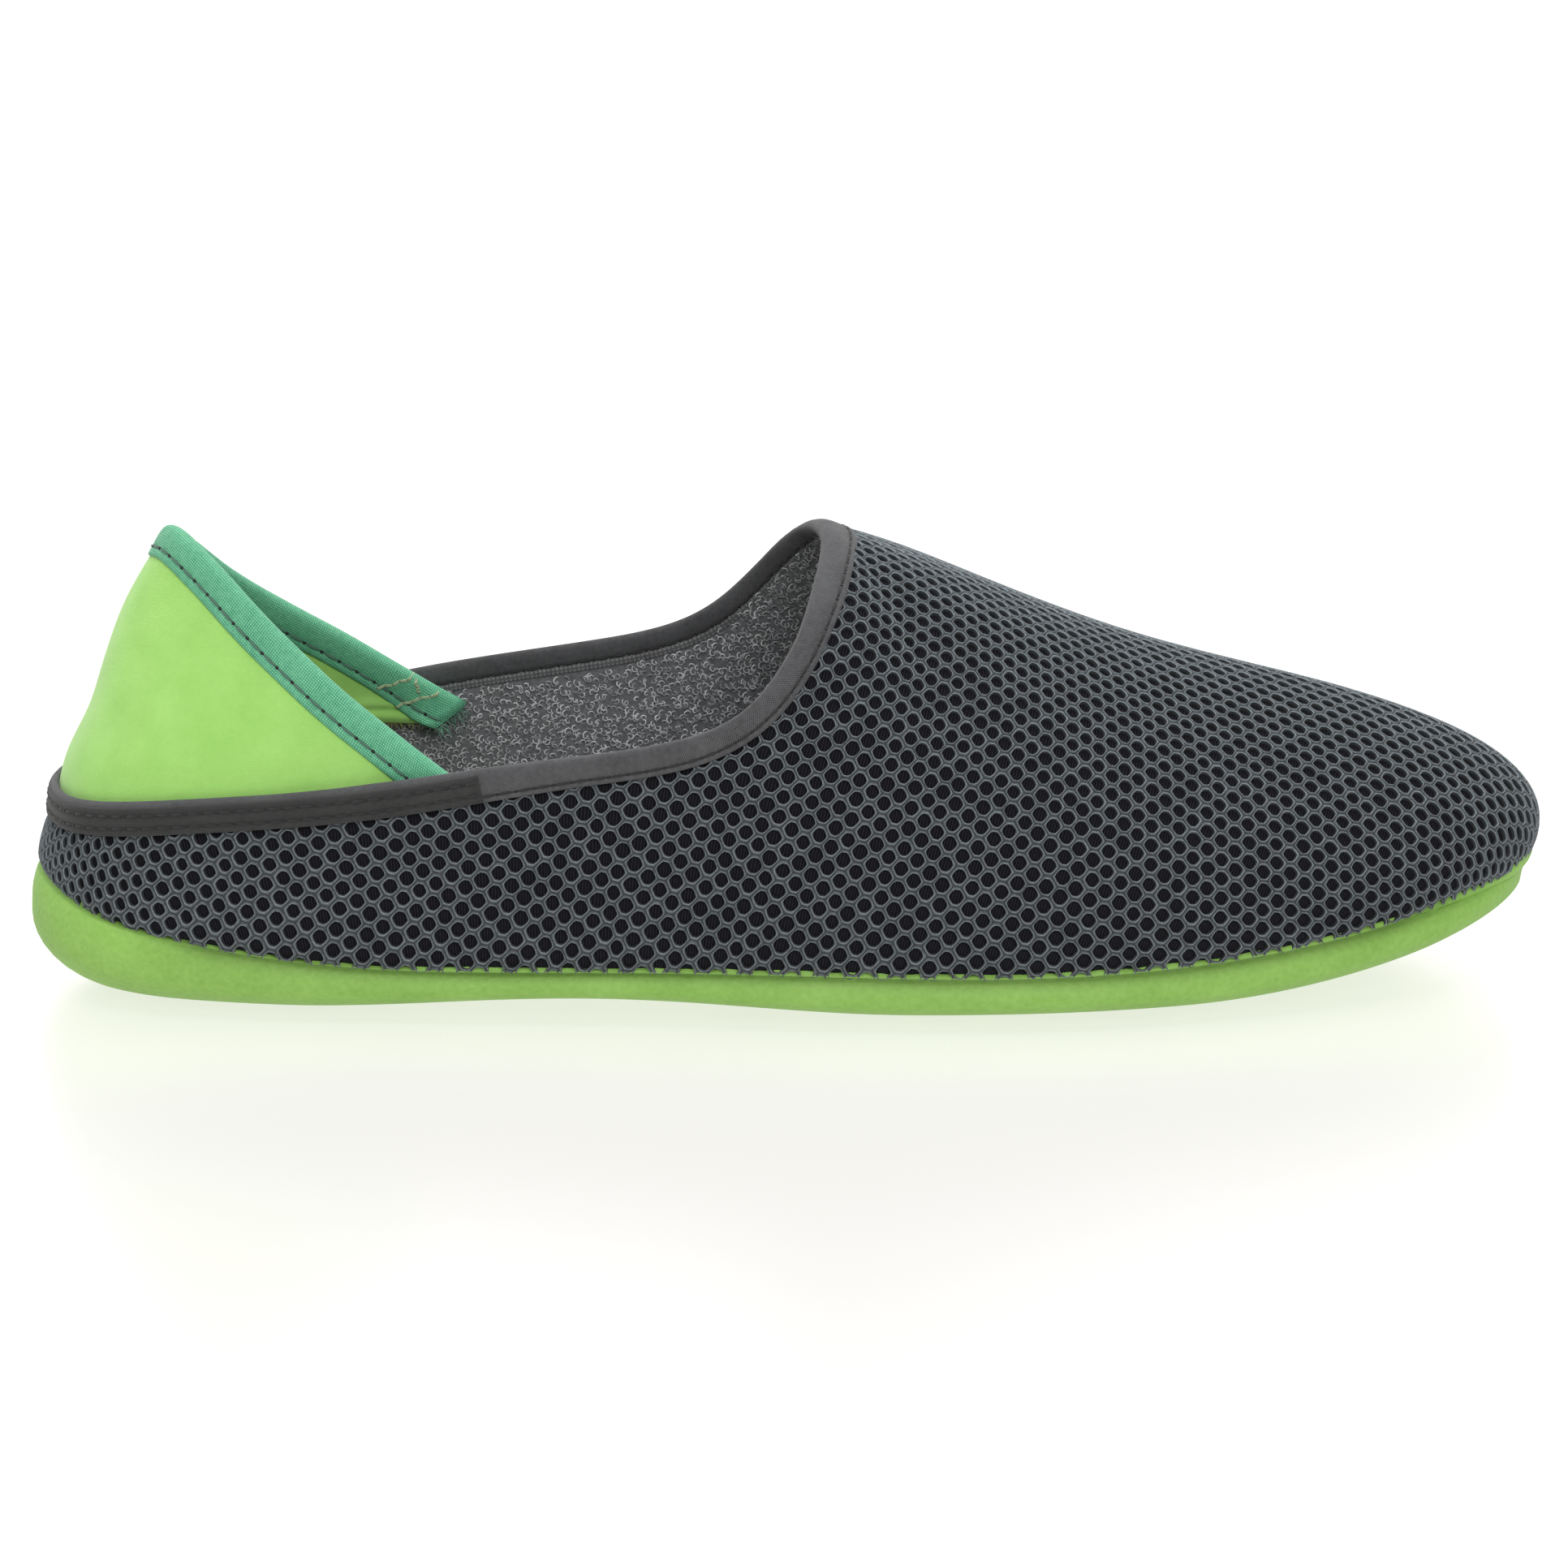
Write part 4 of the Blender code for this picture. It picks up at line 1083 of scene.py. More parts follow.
def plan_strip(inset, height, per):
    """Grid from the lateral to the medial foot line, set in by place, at heights by its points."""
    places = np.arange(TOE * per + 1) / per
    lateral, medial = (foot_point(side) - outward(side) * inset(side) for side in (places, -places))
    shares = np.linspace(0.0, 1.0, ACROSS_STEPS + 1)[:, None, None]
    grid = lateral + (medial - lateral) * shares
    grid[:, :, 2] = height(grid[:, :, 0])
    return grid


def capped(rows, low, high, low_first):
    """A ring of rows closed by one grid below and one above, with the points that were kept."""
    side = np.vstack(rows)
    strips = (low, high) if low_first else (high, low)
    points = np.vstack([side] + [strip.reshape(-1, 3) for strip in strips])
    blocks = [grid_faces(len(rows), len(rows[0]), closed=True)]
    first = len(side)
    for strip in strips:
        blocks.append(grid_faces(*strip.shape[:2], first=first)[:, ::-1 if strip is low else 1])
        first += strip.size // 3
    return welded(points, blocks)


def make_insole():
    """Footbed covered with terry, its top edge rounded."""
    places = np.arange(RING_PLACES * LENGTH_RIBS) / LENGTH_RIBS
    inset = RIM_WIDTH + CUP_DRAFT + INSOLE_CLEAR

    def ring(turn, upright):
        points = foot_point(places) - outward(places) * (inset + INSOLE_BEVEL * (1.0 - cos(turn)))
        tall = upright * (INSOLE_UPRIGHT + (1.0 - INSOLE_UPRIGHT) * sin(turn))
        points[:, 2] = cup_floor(points[:, 0]) + GAP + INSOLE_THICKNESS * tall
        return points

    rows = [ring(0.0, 0.0)] + [ring(turn, 1.0) for turn in np.linspace(0.0, 0.5 * pi, BEVEL_ROWS)]
    top = plan_strip(lambda _: inset + INSOLE_BEVEL, lambda x: cup_floor(x) + GAP + INSOLE_THICKNESS,
                     LENGTH_RIBS)
    under = plan_strip(lambda _: inset, lambda x: cup_floor(x) + GAP, LENGTH_RIBS)
    points, blocks, _ = capped(rows, under, top, False)
    piece = add_mesh("insole_pad", points, blocks, TERRY_GROUND, INSOLE, GROUND_TONE)
    spots = lattice(*INSOLE_LOOP_BOX, INSOLE_LOOP_STEP)
    spots = spots + RANDOM.uniform(-INSOLE_LOOP_STRAY, INSOLE_LOOP_STRAY, spots.shape)
    span = np.arange(0.0, TOE, OUTLINE_STEP)
    left, right = foot_point(span), foot_point(-span)
    order = np.argsort(left[:, 0])
    spare = inset + INSOLE_LOOP_CLEAR
    least = np.interp(spots[:, 0], left[order, 0], left[order, 1]) + spare
    most = np.interp(spots[:, 0], right[order, 0], right[order, 1]) - spare
    spots = spots[(spots[:, 1] > least) & (spots[:, 1] < most)]
    roots = np.concatenate([spots, cup_floor(spots[:, :1]) + GAP + INSOLE_THICKNESS], axis=1)
    terry_loops("insole_loops", roots, np.tile([0.0, 0.0, 1.0], (len(roots), 1)), INSOLE_LOOP_STEPS, INSOLE)
    return piece


# Outsole: its side above the widest place as shares of its height with insets, which differ at heel and
# toe, then the lip that climbs into the knit, and where groove, heel and toe begin and end

SOLE_ROUND_STEPS = 12
SOLE_SHOULDER = ((0.70, -1.14), (0.78, -1.0), (0.85, -0.75), (0.90, -0.45), (0.94, -0.05), (0.97, 0.4),
                 (0.99, 0.75))
HEEL_SHOULDER = (-1.85, -1.75, -1.55, -1.3, -1.05, -0.8, -0.65)
TOE_SHOULDER = (-0.4, -0.52, -0.65, -0.8, -0.92, -1.05, -1.13)
HEEL_BULGE = 0.7
TOE_BULGE = -0.75
GROOVE_AT = ((1.3, 0.0), (2.1, 1.0), (11.2, 1.0), (12.4, 0.15))
HEEL_AT = ((1.0, 1.0), (2.1, 0.0))
TOE_AT = ((11.6, 0.0), (12.6, 1.0))
LIP_STEPS = (0.05, 0.2, 0.4, 0.6, 0.8, 1.0)
LIP_PROUD = (0.55, 0.75, 1.05)
LIP_SINK = 1.3
LIP_POWER = (1.3, 2.7)
LIP_TALL = ((0.0, 1.7), (0.8, 1.2), (1.3, 0.5), (2.4, 0.5), (3.4, 1.0), (11.0, 1.0), (12.2, 2.4), (12.6, 4.2),
            (12.85, 5.0), (13.0, 5.1))
LIP_UNEVEN = (0.25, 0.5)
LIP_UNEVEN_AT = ((11.0, 0.0), (12.6, 1.0))
LIP_BACK = ((2.6, 0.98), (RIM_WIDTH, 0.95))
# Levels kept in the foam's map, which set its painted shade: none at LEVEL_LIT, darkest just under the knit
LEVEL_LIT = 0.35
LEVEL_LIP = 0.2
LEVEL_CUP = 0.5


def lip_height(places):
    """How far the foam climbs into the knit, more at the toe and the heel, and nowhere even."""
    loose = np.interp(np.arange(len(places)), np.arange(0, len(places) + 2, 2),
                      RANDOM.uniform(-1.0, 1.0, len(places) // 2 + 1))
    uneven = LIP_UNEVEN[0] + LIP_UNEVEN[1] * along_ring(places, LIP_UNEVEN_AT)
    return along_ring(places, LIP_TALL) + uneven * loose


def make_outsole(cloth):
    """Foam cup with a soft groove under the knit and an uneven lip that climbs into its holes."""
    places = cloth.places[:-1]
    foot, out = foot_point(places), outward(places)
    edge = EDGE_ROUND(ring_knot(places))[:, 0]
    groove, heel, toe = (along_ring(places, stops) for stops in (GROOVE_AT, HEEL_AT, TOE_AT))
    bulge = SIDE_BULGE + HEEL_BULGE * heel + TOE_BULGE * toe
    rows, levels = [], []

    def ring(inset, share):
        """Points a share of the way from the underside up to the rim."""
        points = foot - out * np.reshape(inset, (-1, 1))
        points[:, 2] = sole_underside(points[:, 0]) * (1.0 - share) + foot[:, 2] * share
        rows.append(points)
        levels.append(share)

    for turn in np.linspace(0.0, 0.5 * pi, SOLE_ROUND_STEPS + 1):
        ring(edge - (edge + bulge) * sin(turn), WIDEST_SHARE * (1.0 - cos(turn)))
    for (share, inset), at_heel, at_toe in zip(SOLE_SHOULDER, HEEL_SHOULDER, TOE_SHOULDER):
        smooth = at_heel + (at_toe - at_heel) * toe
        ring(smooth + (inset - smooth) * groove, share)
    tall = lip_height(places)
    proud = LIP_PROUD[1] + (LIP_PROUD[0] - LIP_PROUD[1]) * groove + (LIP_PROUD[2] - LIP_PROUD[1]) * toe
    for step in LIP_STEPS:
        points, normals = cloth.above_sole(tall * step)
        sunk = (proud + LIP_SINK - LIP_PROUD[0]) * step ** (LIP_POWER[0] + LIP_POWER[1] * toe)
        ways = unit(normals + (out - normals) * toe[:, None])
        rows.append(points + ways * (proud - sunk)[:, None])
        levels.append(1.0 + LEVEL_LIP * step)
    for inset, share in LIP_BACK:
        ring(inset, share)
    cup = foot - out * (RIM_WIDTH + CUP_DRAFT)
    cup[:, 2] = cup_floor(cup[:, 0])
    rows.append(cup)
    levels.append(LEVEL_CUP)
    under = plan_strip(lambda at: EDGE_ROUND(ring_knot(at)), sole_underside, CLOTH_RIBS)
    inside = plan_strip(lambda _: RIM_WIDTH + CUP_DRAFT, cup_floor, CLOTH_RIBS)
    # Painted shade only where the groove is: heel and toe are held at the unshaded level
    shaded = LEVEL_LIT + (np.array(levels)[:, None] - LEVEL_LIT) * groove
    points, blocks, kept = capped(rows, under, inside, True)
    up = np.concatenate([shaded.ravel(), np.zeros((under.size + inside.size) // 3)])
    add_mesh("sole_foam", points, blocks, FOAM, OUTSOLE, up[kept])


# Tapes: a profile's points each have a depth below the edge, a share of the way from the outer to the
# inner face and how far they stand off that face

STATIONS_PER_SECTION = 12
COLLAR_OUTER = ((6.0, 0.0, 0.0), (6.05, 0.0, 0.35), (5.7, 0.0, 0.6), (5.0, 0.0, 0.66), (4.6, 0.0, 0.42),
                (4.2, 0.0, 0.7), (3.2, 0.0, 0.82), (2.0, 0.0, 0.88), (0.9, 0.0, 0.88), (0.2, 0.0, 0.84))
COLLAR_FOLD = ((-0.7, 0.08, 0.85), (-1.3, 0.28, 0.75), (-1.5, 0.5, 0.65), (-1.3, 0.72, 0.55),
               (-0.7, 0.92, 0.5))
COLLAR_INNER = ((0.2, 1.0, 0.5), (0.9, 1.0, 0.52), (1.6, 1.0, 0.5), (1.95, 1.0, 0.4), (2.15, 1.0, 0.24),
                (2.4, 1.0, 0.15), (2.4, 1.0, 0.0))
COLLAR_HEM = ((2.1, 1.0, 0.05), (2.15, 1.0, 0.3), (2.5, 1.0, 0.5), (3.2, 1.0, 0.56), (3.9, 1.0, 0.5),
              (4.15, 1.0, 0.3), (4.2, 1.0, -0.1))
HEEL_STRIP = ((4.2, 0.0, 0.3), (4.3, 0.0, 0.7), (4.1, 0.0, 0.95), (3.7, 0.0, 1.02), (3.25, 0.0, 0.98),
              (2.95, 0.0, 0.78), (2.65, 0.0, 1.0), (1.7, 0.0, 1.08), (1.05, 0.0, 1.02), (0.72, 0.0, 0.82),
              (0.4, 0.0, 1.0), (-0.3, 0.0, 0.95), (-0.8, 0.1, 0.92))
FLAP_LEG_PROFILE = ((6.6, 0.02), (6.65, 0.3), (6.3, 0.52), (5.2, 0.62), (4.6, 0.4), (4.1, 0.64), (2.8, 0.76),
                    (1.4, 0.8), (0.3, 0.74))
FLAP_FOLD = ((-0.5, 0.1, 0.72), (-0.95, 0.3, 0.72), (-1.05, 0.5, 0.72), (-0.95, 0.7, 0.72), (-0.5, 0.9, 0.72))
FLAP_PROFILE = (tuple((depth, 0.0, proud) for depth, proud in FLAP_LEG_PROFILE) + FLAP_FOLD
                + tuple((depth, 1.0, proud) for depth, proud in FLAP_LEG_PROFILE[::-1]))
FOLD_LATERAL = ((0.0, 1.1), (1.5, 1.2), (2.5, 1.15), (3.0, 1.3), (3.5, 1.1), (4.0, 0.6), (4.5, 0.55),
                (5.0, 0.15), (6.0, 0.15), (6.5, 0.5), (7.0, 0.6), (8.0, 1.0))
FOLD_MEDIAL = ((0.0, 1.1), (2.0, 1.1), (5.0, 1.0), (6.0, 0.8), (8.0, 1.0))
LEG_SCALE = ((0.0, 0.62), (2.8, 0.62), (3.3, 0.72), (4.5, 0.75), (6.0, 0.85), (8.0, 0.92))
FULL_LEG = ((0.0, 1.0), (1.0, 1.0))


def stations(start, end):
    """Places round the heel from the medial to the lateral end."""
    return np.linspace(-start, end, int((start + end) * STATIONS_PER_SECTION) + 1)


class Collar_edge:
    """Places round the collar's edge where tapes lie."""

    def __init__(self, sheet, places, closed, leg):
        self.sheet, self.places, self.closed = sheet, places, closed
        self.edge = top_point(places)
        self.out, self.into = edge_frames(sheet, self.edge, closed)
        self.wall = LINING_DEPTH - LINING_THINNER * by_collar(places)
        self.fold = np.where(places > 0.0, along_ring(places, FOLD_LATERAL), along_ring(places, FOLD_MEDIAL))
        self.leg = along_ring(places, leg)

    def row(self, depth, share, proud):
        """Points and outward directions at a point of a profile."""
        offset = proud * (1.0 - 2.0 * share) - self.wall * share
        if depth <= 0.0:
            point, normal = self.edge + self.into * (depth * self.fold)[:, None], self.out
        else:
            down = depth * (self.leg if share == 0.0 else np.ones_like(self.leg))
            point, normal = self.sheet.nearest(self.edge + self.into * down[:, None])
        return point + normal * offset[:, None], normal


class Flap_edge:
    """The same along the heel flap's free edge."""

    def __init__(self, sheet, places):
        self.places, self.closed = places, False
        heights = np.linspace(0.0, 1.0, SHEET_ROWS)
        self.columns, ahead, behind = (flap_rows(sheet, places + step, heights).transpose(1, 0, 2)
                                       for step in (0.0, NUDGE, -NUDGE))
        self.across = ahead - behind
        self.edge = self.columns[:, -1]
        self.along = unit(np.gradient(self.edge, axis=0))
        self.out = flap_leg(self.columns, self.across, self.along, 0.0)[1]
        self.into = unit(np.cross(self.along, self.out))
        self.straight = np.clip((-places - FAR_START) / FAR_RUN, 0.0, 1.0)[:, None]

    def row(self, depth, share, proud):
        """Points and outward directions at a point of a profile."""
        offset = proud * (1.0 - 2.0 * share) - FLAP_THICKNESS * share
        point, normal = self.edge + self.into * depth, self.out
        if depth > 0.0:
            depth = depth * (FLAP_LEG + FAR_LEG * self.straight)
            point = self.edge + (self.into * cos(FAR_TURN) + self.along * sin(FAR_TURN)) * depth
            on_cloth, cloth_out = flap_leg(self.columns, self.across, self.along, depth[:, 0])
            point = on_cloth + (point - on_cloth) * self.straight
            normal = unit(cloth_out + (normal - cloth_out) * self.straight)
        return point + normal * offset, normal


def sweep_tape(name, line, profile, finish, own):
    """A tape with the given profile run along an edge, closed at its ends if it has any."""
    rows = np.array([line.row(*point)[0] for point in profile])
    count = len(line.places)
    along, down = run_of(line.edge), run_of(rows[:, count // 2])
    uv = np.stack([np.tile(along, len(rows)), np.repeat(down, count)], axis=1)
    back = np.arange(len(rows) * count).reshape(len(rows), count)
    first, last = back[0], back[-1]
    blocks = [quads_of(back, line.closed)]
    if line.closed:
        blocks.append(np.stack([first, last, np.roll(last, -1), np.roll(first, -1)], axis=-1))
    else:
        blocks.append(np.stack([first[:-1], last[:-1], last[1:], first[1:]], axis=-1))
        blocks += [back[:, :1].T, back[::-1, -1:].T]
    return add_mesh(name, rows.reshape(-1, 3), blocks, finish, own, uv)


# Stitches: the thread's share of each step, how it rises and dips, and its needle holes as sunken dots of
# painted shade

STITCH_SHARE = 0.78
STITCH_RADIUS = 0.28
STITCH_STEPS = 6
STITCH_UNEVEN = 0.08
STITCH_RISE = 0.06
STITCH_DIP = 0.34
THREAD_SIDES = 6
HOLE_ALONG = (-0.42, -0.22, 0.22, 0.42)
HOLE_WIDTHS = np.array([0.05, 0.38, 0.38, 0.05])
HOLE_SUNK = 0.14


def stitch_row(name, line, place, pitch, finish, own):
    """A row of lock stitches along a tape: thread that dips at each end, and the needle's holes as dots of
    painted shade.
    """
    points, normals = line.row(*place)
    if line.closed:
        points, normals = np.vstack([points, points[:1]]), np.vstack([normals, normals[:1]])
    sign = 1.0 if place[1] == 0.0 else -1.0
    run = run_of(points)
    count = int(run[-1] / pitch)
    step = run[-1] / count
    shares = np.linspace(-0.5, 0.5, STITCH_STEPS)
    at = (np.arange(count) + 0.5)[:, None] * step + shares * step * STITCH_SHARE
    at = at + STITCH_UNEVEN * RANDOM.standard_normal((count, 1))
    ups = unit(between(at, run, normals)) * sign
    dip = STITCH_RISE - STITCH_DIP * np.abs(2.0 * shares) ** 3
    paths = between(at, run, points) + ups * dip[None, :, None]
    threads, blocks = tubes(paths, STITCH_RADIUS, THREAD_SIDES, ups[:, 0])
    add_mesh(name, threads, blocks, finish, own, np.repeat(at.ravel(), THREAD_SIDES))
    ends = np.arange(1, count)[:, None] * step + np.array(HOLE_ALONG)
    ups = unit(between(ends, run, normals)) * sign
    shade_dots, blocks = tubes(between(ends, run, points) - ups * HOLE_SUNK, HOLE_WIDTHS, THREAD_SIDES, ups[:, 0])
    add_mesh(name + "_hole_shade", shade_dots, blocks, NEEDLE_HOLE_SHADE, own, 0.0)


def make_heel_flap(sheet):
    """Stretch cloth with two faces, its foot trimmed high and folded on the far side."""
    places = stations(FLAP_FAR_END, FLAP_END)
    fine = flap_rows(sheet, places, np.linspace(0.0, 1.0, SHEET_ROWS))
    outer = np.zeros((FLAP_FINE_ROWS + 1, len(places), 3))
    least = np.where(places < 0.0, along_ring(places, FAR_FOOT), 0.0)
    for column in range(len(places)):
        points = fine[:, column]
        run = run_of(points)
        start = np.interp(least[column], points[:, 2], run)
        at = np.linspace(min(start, run[-1] - FLAP_LEAST), run[-1], FLAP_FINE_ROWS + 1)
        outer[:, column] = between(at, run, points)
    normals = facing(unit(np.cross(np.gradient(outer, axis=1), np.gradient(outer, axis=0))), outer, MOUTH)
    folds = climbs(outer) / FOLD_PITCH
    folds = FOLD_SWELL * np.abs(np.sin(pi * folds)) * np.clip(FOLD_COUNT - folds, 0.0, 1.0)
    folds = folds * np.clip((-places - FOLD_START) / FOLD_RUN, 0.0, 1.0)
    inner = outer - normals * (FLAP_THICKNESS + folds[:, :, None])
    rows, columns = outer.shape[:2]
    index = np.arange(rows * columns).reshape(rows, columns)
    rim = np.concatenate([index[0, :-1], index[:-1, -1], index[-1, :0:-1], index[:0:-1, 0]])
    after = np.roll(rim, -1)
    edge = np.stack([after, rim, rim + rows * columns, after + rows * columns], axis=-1)
    run = np.array([run_of(row) for row in outer[::FLAP_MEASURED_EVERY]]).mean(axis=0)
    tall = run_of(outer[:, columns // 2])
    uv = np.tile(np.stack([np.tile(run, rows), np.repeat(tall, columns)], axis=1), (2, 1))
    faces = [quads_of(index), quads_of(index + rows * columns)[:, ::-1], edge]
    points = np.vstack([outer.reshape(-1, 3), inner.reshape(-1, 3)])
    piece = add_mesh("heel_flap_cloth", points, faces, STRETCH, HEEL_FLAP, uv)
    corner = outer[:-1, :-1]
    area = np.linalg.norm(np.cross(outer[1:, :-1] - corner, outer[:-1, 1:] - corner), axis=2).sum()
    low = (1.0 - RAW_DEPTH) * outer[0] + RAW_DEPTH * inner[0]
    raw = between(np.linspace(0.0, RAW_COLUMNS, RAW_THREADS), np.arange(columns), low)
    return piece, area, run[-1], tall[-1], raw


# Tack and frayed ends on the flap's far end: each line of the tack runs between two places, with depths

TACK = (((-2.93, -0.9), (-2.73, 5.4)), ((-3.04, 1.5), (-2.93, -0.7)), ((-3.16, -0.3), (-2.97, 6.4)))
TACK_STITCHES = 5
TACK_SHARE = 0.94
TACK_LANES = (-0.13, 0.13)
TACK_SWAY = 0.16
TACK_RISE = 0.16
TACK_DIP = 0.22
TACK_RADIUS = 0.16
TACK_TWISTS = 2.0
TAPE_DEPTHS = np.arange(-0.9, 7.0, 0.3)
TAPE_PROUD = 0.72
FRAY_STEPS = 6
FRAY_SIDES = 3
FRAY_SHORTEST = 0.3
FRAY_STRAY = 0.5
FRAY_POWER = 1.5
FRAY_SAG = np.array([0.0, 0.0, -0.5])
FRAY_UP = (0.31, 0.43, 0.85)
TAPE_FRAY_DEPTHS = np.concatenate([np.linspace(0.3, 6.5, 40), np.full(14, 5.6)])
TAPE_FRAY_IN = (0.1, 1.2)
TAPE_FRAY_LONGEST = 2.4
TAPE_FRAY_RADIUS = 0.07
RAW_WAY = (0.3, -0.5, -0.7)
RAW_LONGEST = 0.9
RAW_RADIUS = 0.1


def on_tape(rim, places, depths):
    """Points and directions off the inner leg of the flap's tape."""
    rows = [rim.row(depth, 1.0 + 0.5 * min(depth, 0.0), TAPE_PROUD) for depth in TAPE_DEPTHS]
    found = []
    for values in (np.array([row[0] for row in rows]), -np.array([row[1] for row in rows])):
        middle = np.array([between(places, rim.places, level) for level in values])
        found.append(np.array([between(depth, TAPE_DEPTHS, middle[:, number])
                               for number, depth in enumerate(depths)]))
    return found[0], unit(found[1])


def make_tack(rim):
    """Three short lines of olive stitches that hold the tape's end to the lining."""
    shares = np.linspace(0.0, 1.0, FRAY_STEPS)
    paths, ups = [], []
    for start, end in TACK:
        at = (np.arange(TACK_STITCHES)[:, None] + shares * TACK_SHARE) / TACK_STITCHES
        place = start[0] + (end[0] - start[0]) * at
        depth = start[1] + (end[1] - start[1]) * at
        points, off = (part.reshape(*at.shape, 3) for part in on_tape(rim, place.ravel(), depth.ravel()))
        side = unit(np.cross(points[:, -1] - points[:, 0], off[:, 0]))
        way = np.where(np.arange(TACK_STITCHES) % 2, 1.0, -1.0)[:, None, None]
        hump = TACK_RISE - TACK_DIP * np.abs(2.0 * shares - 1.0) ** 3
        for lane in TACK_LANES:
            sway = side[:, None, :] * (way * (TACK_SWAY * (2.0 * shares - 1.0))[None, :, None] + lane)
            paths.append(points + off * hump[None, :, None] + sway)
            ups.append(off[:, 0])
    paths = np.vstack(paths)
    points, blocks = tubes(paths, TACK_RADIUS, THREAD_SIDES, np.vstack(ups))
    along = np.repeat(np.linspace(0.0, TACK_TWISTS, FRAY_STEPS), THREAD_SIDES)
    add_mesh("flap_tack", points, blocks, OLIVE_THREAD, FLAP_BINDING, np.tile(along, len(paths)))


def fray(name, roots, way, longest, radius, finish, own):
    """Loose ends of thread that leave a raw edge and wander."""
    count = len(roots)
    shares = np.linspace(0.0, 1.0, FRAY_STEPS)
    long = RANDOM.uniform(FRAY_SHORTEST, 1.0, (count, 1, 1)) * longest
    stray = FRAY_STRAY * RANDOM.standard_normal((count, 1, 3)) * shares[None, :, None] ** FRAY_POWER
    sag = FRAY_SAG * shares[:, None] ** 2
    paths = roots[:, None, :] + long * (np.array(way) * shares[None, :, None] + stray + sag)
    points, blocks = tubes(paths, radius, FRAY_SIDES, np.tile(FRAY_UP, (count, 1)))
    add_mesh(name, points, blocks, finish, own, points[:, 0])


# All pieces: rows of stitches have a place in the tape's profile and a pitch

COLLAR_STITCH = (4.6, 0.0, 0.55)
COLLAR_INNER_STITCH = (2.2, 1.0, 0.36)
COLLAR_PITCH = 3.3
HEEL_STITCH_LOW = (2.95, 0.0, 0.9)
HEEL_STITCH_HIGH = (0.72, 0.0, 0.94)
HEEL_PITCH = 2.9
FLAP_STITCH = (4.6, 0.0, 0.52)
FLAP_INNER_STITCH = (4.6, 1.0, 0.52)
FLAP_PITCH = 3.7


def build():
    cloth = Cloth()
    sheet = Sheet()
    make_outsole(cloth)
    knit_cells(cloth)
    backing = (cloth.grid - cloth.normals * KNIT_DEPTH)[:, :-1]
    cloth_layer("knit_backing", backing, BACKING, UPPER, cloth.flat[:, :-1].reshape(-1, 2), 1)
    lining = (cloth.grid - cloth.normals * cloth.lining[:, :, None])[len(TUCKED):, :-1]
    cloth_layer("lining", lining, TERRY_GROUND, LINING, 0.0, -1)
    lining_loops(cloth)
    lining_foot(cloth)
    make_insole()
    half_round = THROAT * STATIONS_PER_SECTION
    round_collar = np.arange(-half_round, half_round) / STATIONS_PER_SECTION
    collar = Collar_edge(sheet, round_collar, True, LEG_SCALE)
    sweep_tape("collar_twill", collar, COLLAR_OUTER + COLLAR_FOLD + COLLAR_INNER, TWILL, COLLAR_BINDING)
    sweep_tape("collar_hem", collar, COLLAR_HEM, HEM_PAINTED_LIGHTER, COLLAR_BINDING)
    stitch_row("collar_stitch", collar, COLLAR_STITCH, COLLAR_PITCH, DARK_THREAD, COLLAR_BINDING)
    stitch_row("collar_inner_stitch", collar, COLLAR_INNER_STITCH, COLLAR_PITCH, DARK_THREAD, COLLAR_BINDING)
    back = Collar_edge(sheet, stations(TAPE_END, TAPE_END), False, FULL_LEG)
    sweep_tape("heel_strip", back, HEEL_STRIP, TAPE, HEEL_TAPE)
    stitch_row("heel_stitch_low", back, HEEL_STITCH_LOW, HEEL_PITCH, DARK_THREAD, HEEL_TAPE)
    stitch_row("heel_stitch_high", back, HEEL_STITCH_HIGH, HEEL_PITCH, DARK_THREAD, HEEL_TAPE)
    flap, area, wide, tall, raw = make_heel_flap(sheet)
    rim = Flap_edge(sheet, stations(FLAP_TAPE_END, FLAP_END))
    tape = sweep_tape("flap_tape", rim, FLAP_PROFILE, EMERALD, FLAP_BINDING)
    stitch_row("flap_stitch", rim, FLAP_STITCH, FLAP_PITCH, GREEN_THREAD, FLAP_BINDING)
    stitch_row("flap_inner_stitch", rim, FLAP_INNER_STITCH, FLAP_PITCH, GREEN_THREAD, FLAP_BINDING)
    make_tack(rim)
    roots, off = on_tape(rim, np.full(len(TAPE_FRAY_DEPTHS), -FLAP_TAPE_END), TAPE_FRAY_DEPTHS)
    roots = roots - off * RANDOM.uniform(*TAPE_FRAY_IN, (len(roots), 1))
    fray("flap_tape_fray", roots, -rim.along[0], TAPE_FRAY_LONGEST, TAPE_FRAY_RADIUS,
         FRAYED_THREAD, FLAP_BINDING)
    fray("flap_foot_fray", raw, RAW_WAY, RAW_LONGEST, RAW_RADIUS, RAW_EDGE, HEEL_FLAP)


build()


# Floor, light and camera: a lamp has its place, its aim, its size and its power

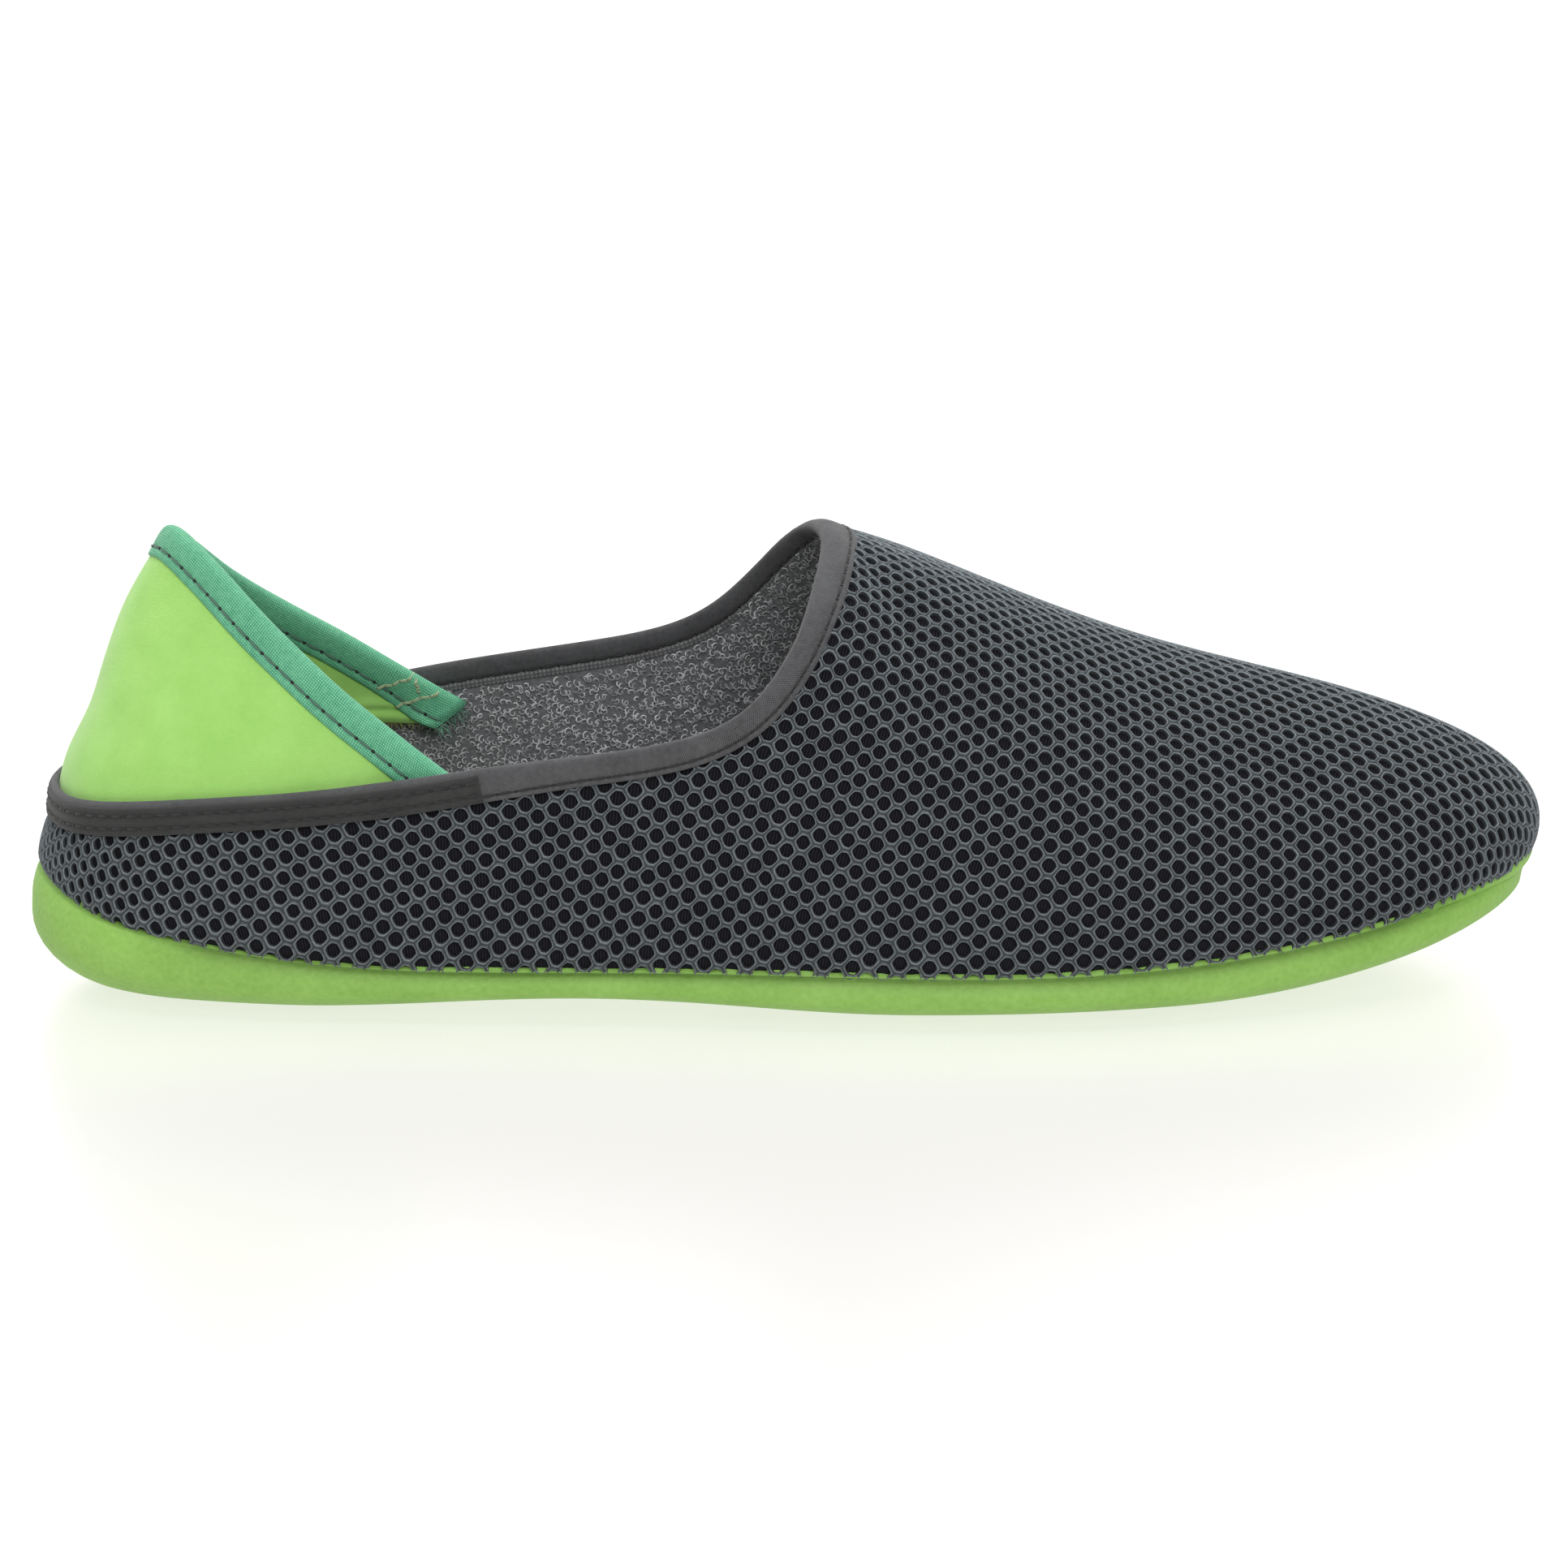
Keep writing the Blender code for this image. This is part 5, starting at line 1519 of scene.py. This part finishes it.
FLOOR_CORNERS = ((-6, -4, 0), (6, -4, 0), (6, 9, 0), (-6, 9, 0))
FLOOR_TONES = ((0.0, 0.15), (1.0, 0.17))
FLOOR_GLOW = (1.0, 0.985, 0.94, 1.0)
FLOOR_LIFT = 0.70
FLOOR_IOR = 2.1
STUDIO_LIGHT = ((0.0, 0.2), (0.35, 0.28), (0.55, 0.8), (0.75, 1.0), (1.0, 1.0))
STUDIO_POWER = 1.15
LAMP_OVERHEAD = ((-0.1, 0.05, 1.3), (0.0, 0.0, 0.0), (1.4, 1.0), 13.0)
LAMP_FRONT = ((0.2, -1.5, 0.9), (0.0, 0.0, 0.03), (1.2, 0.8), 16.0)
EYE_LENS = 120.08
EYE_SENSOR = 36.0
EYE_AT = (np.array([103.362, -925.088, 248.878]) + SHIFT) * MM
EYE_AIM = (np.array([135.67, 0.0, 35.17]) + SHIFT) * MM


def floor():
    """Pale floor with a soft reflection and a faint glow of its own."""
    finish, tree, sockets = new_finish("pale floor", 0.28)
    sockets["IOR"].default_value = FLOOR_IOR
    sockets["Emission Color"].default_value = FLOOR_GLOW
    sockets["Emission Strength"].default_value = FLOOR_LIFT
    tree.links.new(greys(tree, speckle(tree, 6.0), FLOOR_TONES), sockets["Base Color"])
    mesh = bpy.data.meshes.new("floor")
    mesh.from_pydata(FLOOR_CORNERS, [], [(0, 1, 2, 3)])
    piece = bpy.data.objects.new("floor", mesh)
    mesh.materials.append(finish)
    SCENE.collection.objects.link(piece)


def studio():
    """White surroundings, brighter behind the shoe than before it."""
    world = bpy.data.worlds.new("studio")
    world.use_nodes = True
    tree = world.node_tree
    way = shade("SeparateXYZ", tree, {0: shade("TexCoord", tree).outputs["Generated"]})
    background = tree.nodes["Background"].inputs
    tree.links.new(greys(tree, scaled(tree, way.outputs[1], 0.5, 0.5), STUDIO_LIGHT), background[0])
    background[1].default_value = STUDIO_POWER
    SCENE.world = world


def stand(name, data, place, aim):
    """Adds a lamp or camera at a place, turned to its aim."""
    thing = bpy.data.objects.new(name, data)
    thing.location = place
    thing.rotation_euler = (Vector(aim) - Vector(place)).to_track_quat("-Z", "Y").to_euler()
    SCENE.collection.objects.link(thing)
    return thing


def lamp(name, place, aim, size, power):
    data = bpy.data.lights.new(name, "AREA")
    data.shape = "RECTANGLE"
    data.size, data.size_y = size
    data.energy = power
    stand(name, data, place, aim)


floor()
studio()
lamp("overhead", *LAMP_OVERHEAD)
lamp("front", *LAMP_FRONT)
SCENE.view_settings.view_transform = "Standard"
SCENE.view_settings.look = "None"

eye = bpy.data.cameras.new("camera")
eye.lens = EYE_LENS
eye.sensor_width = EYE_SENSOR
SCENE.camera = stand("camera", eye, EYE_AT, EYE_AIM)
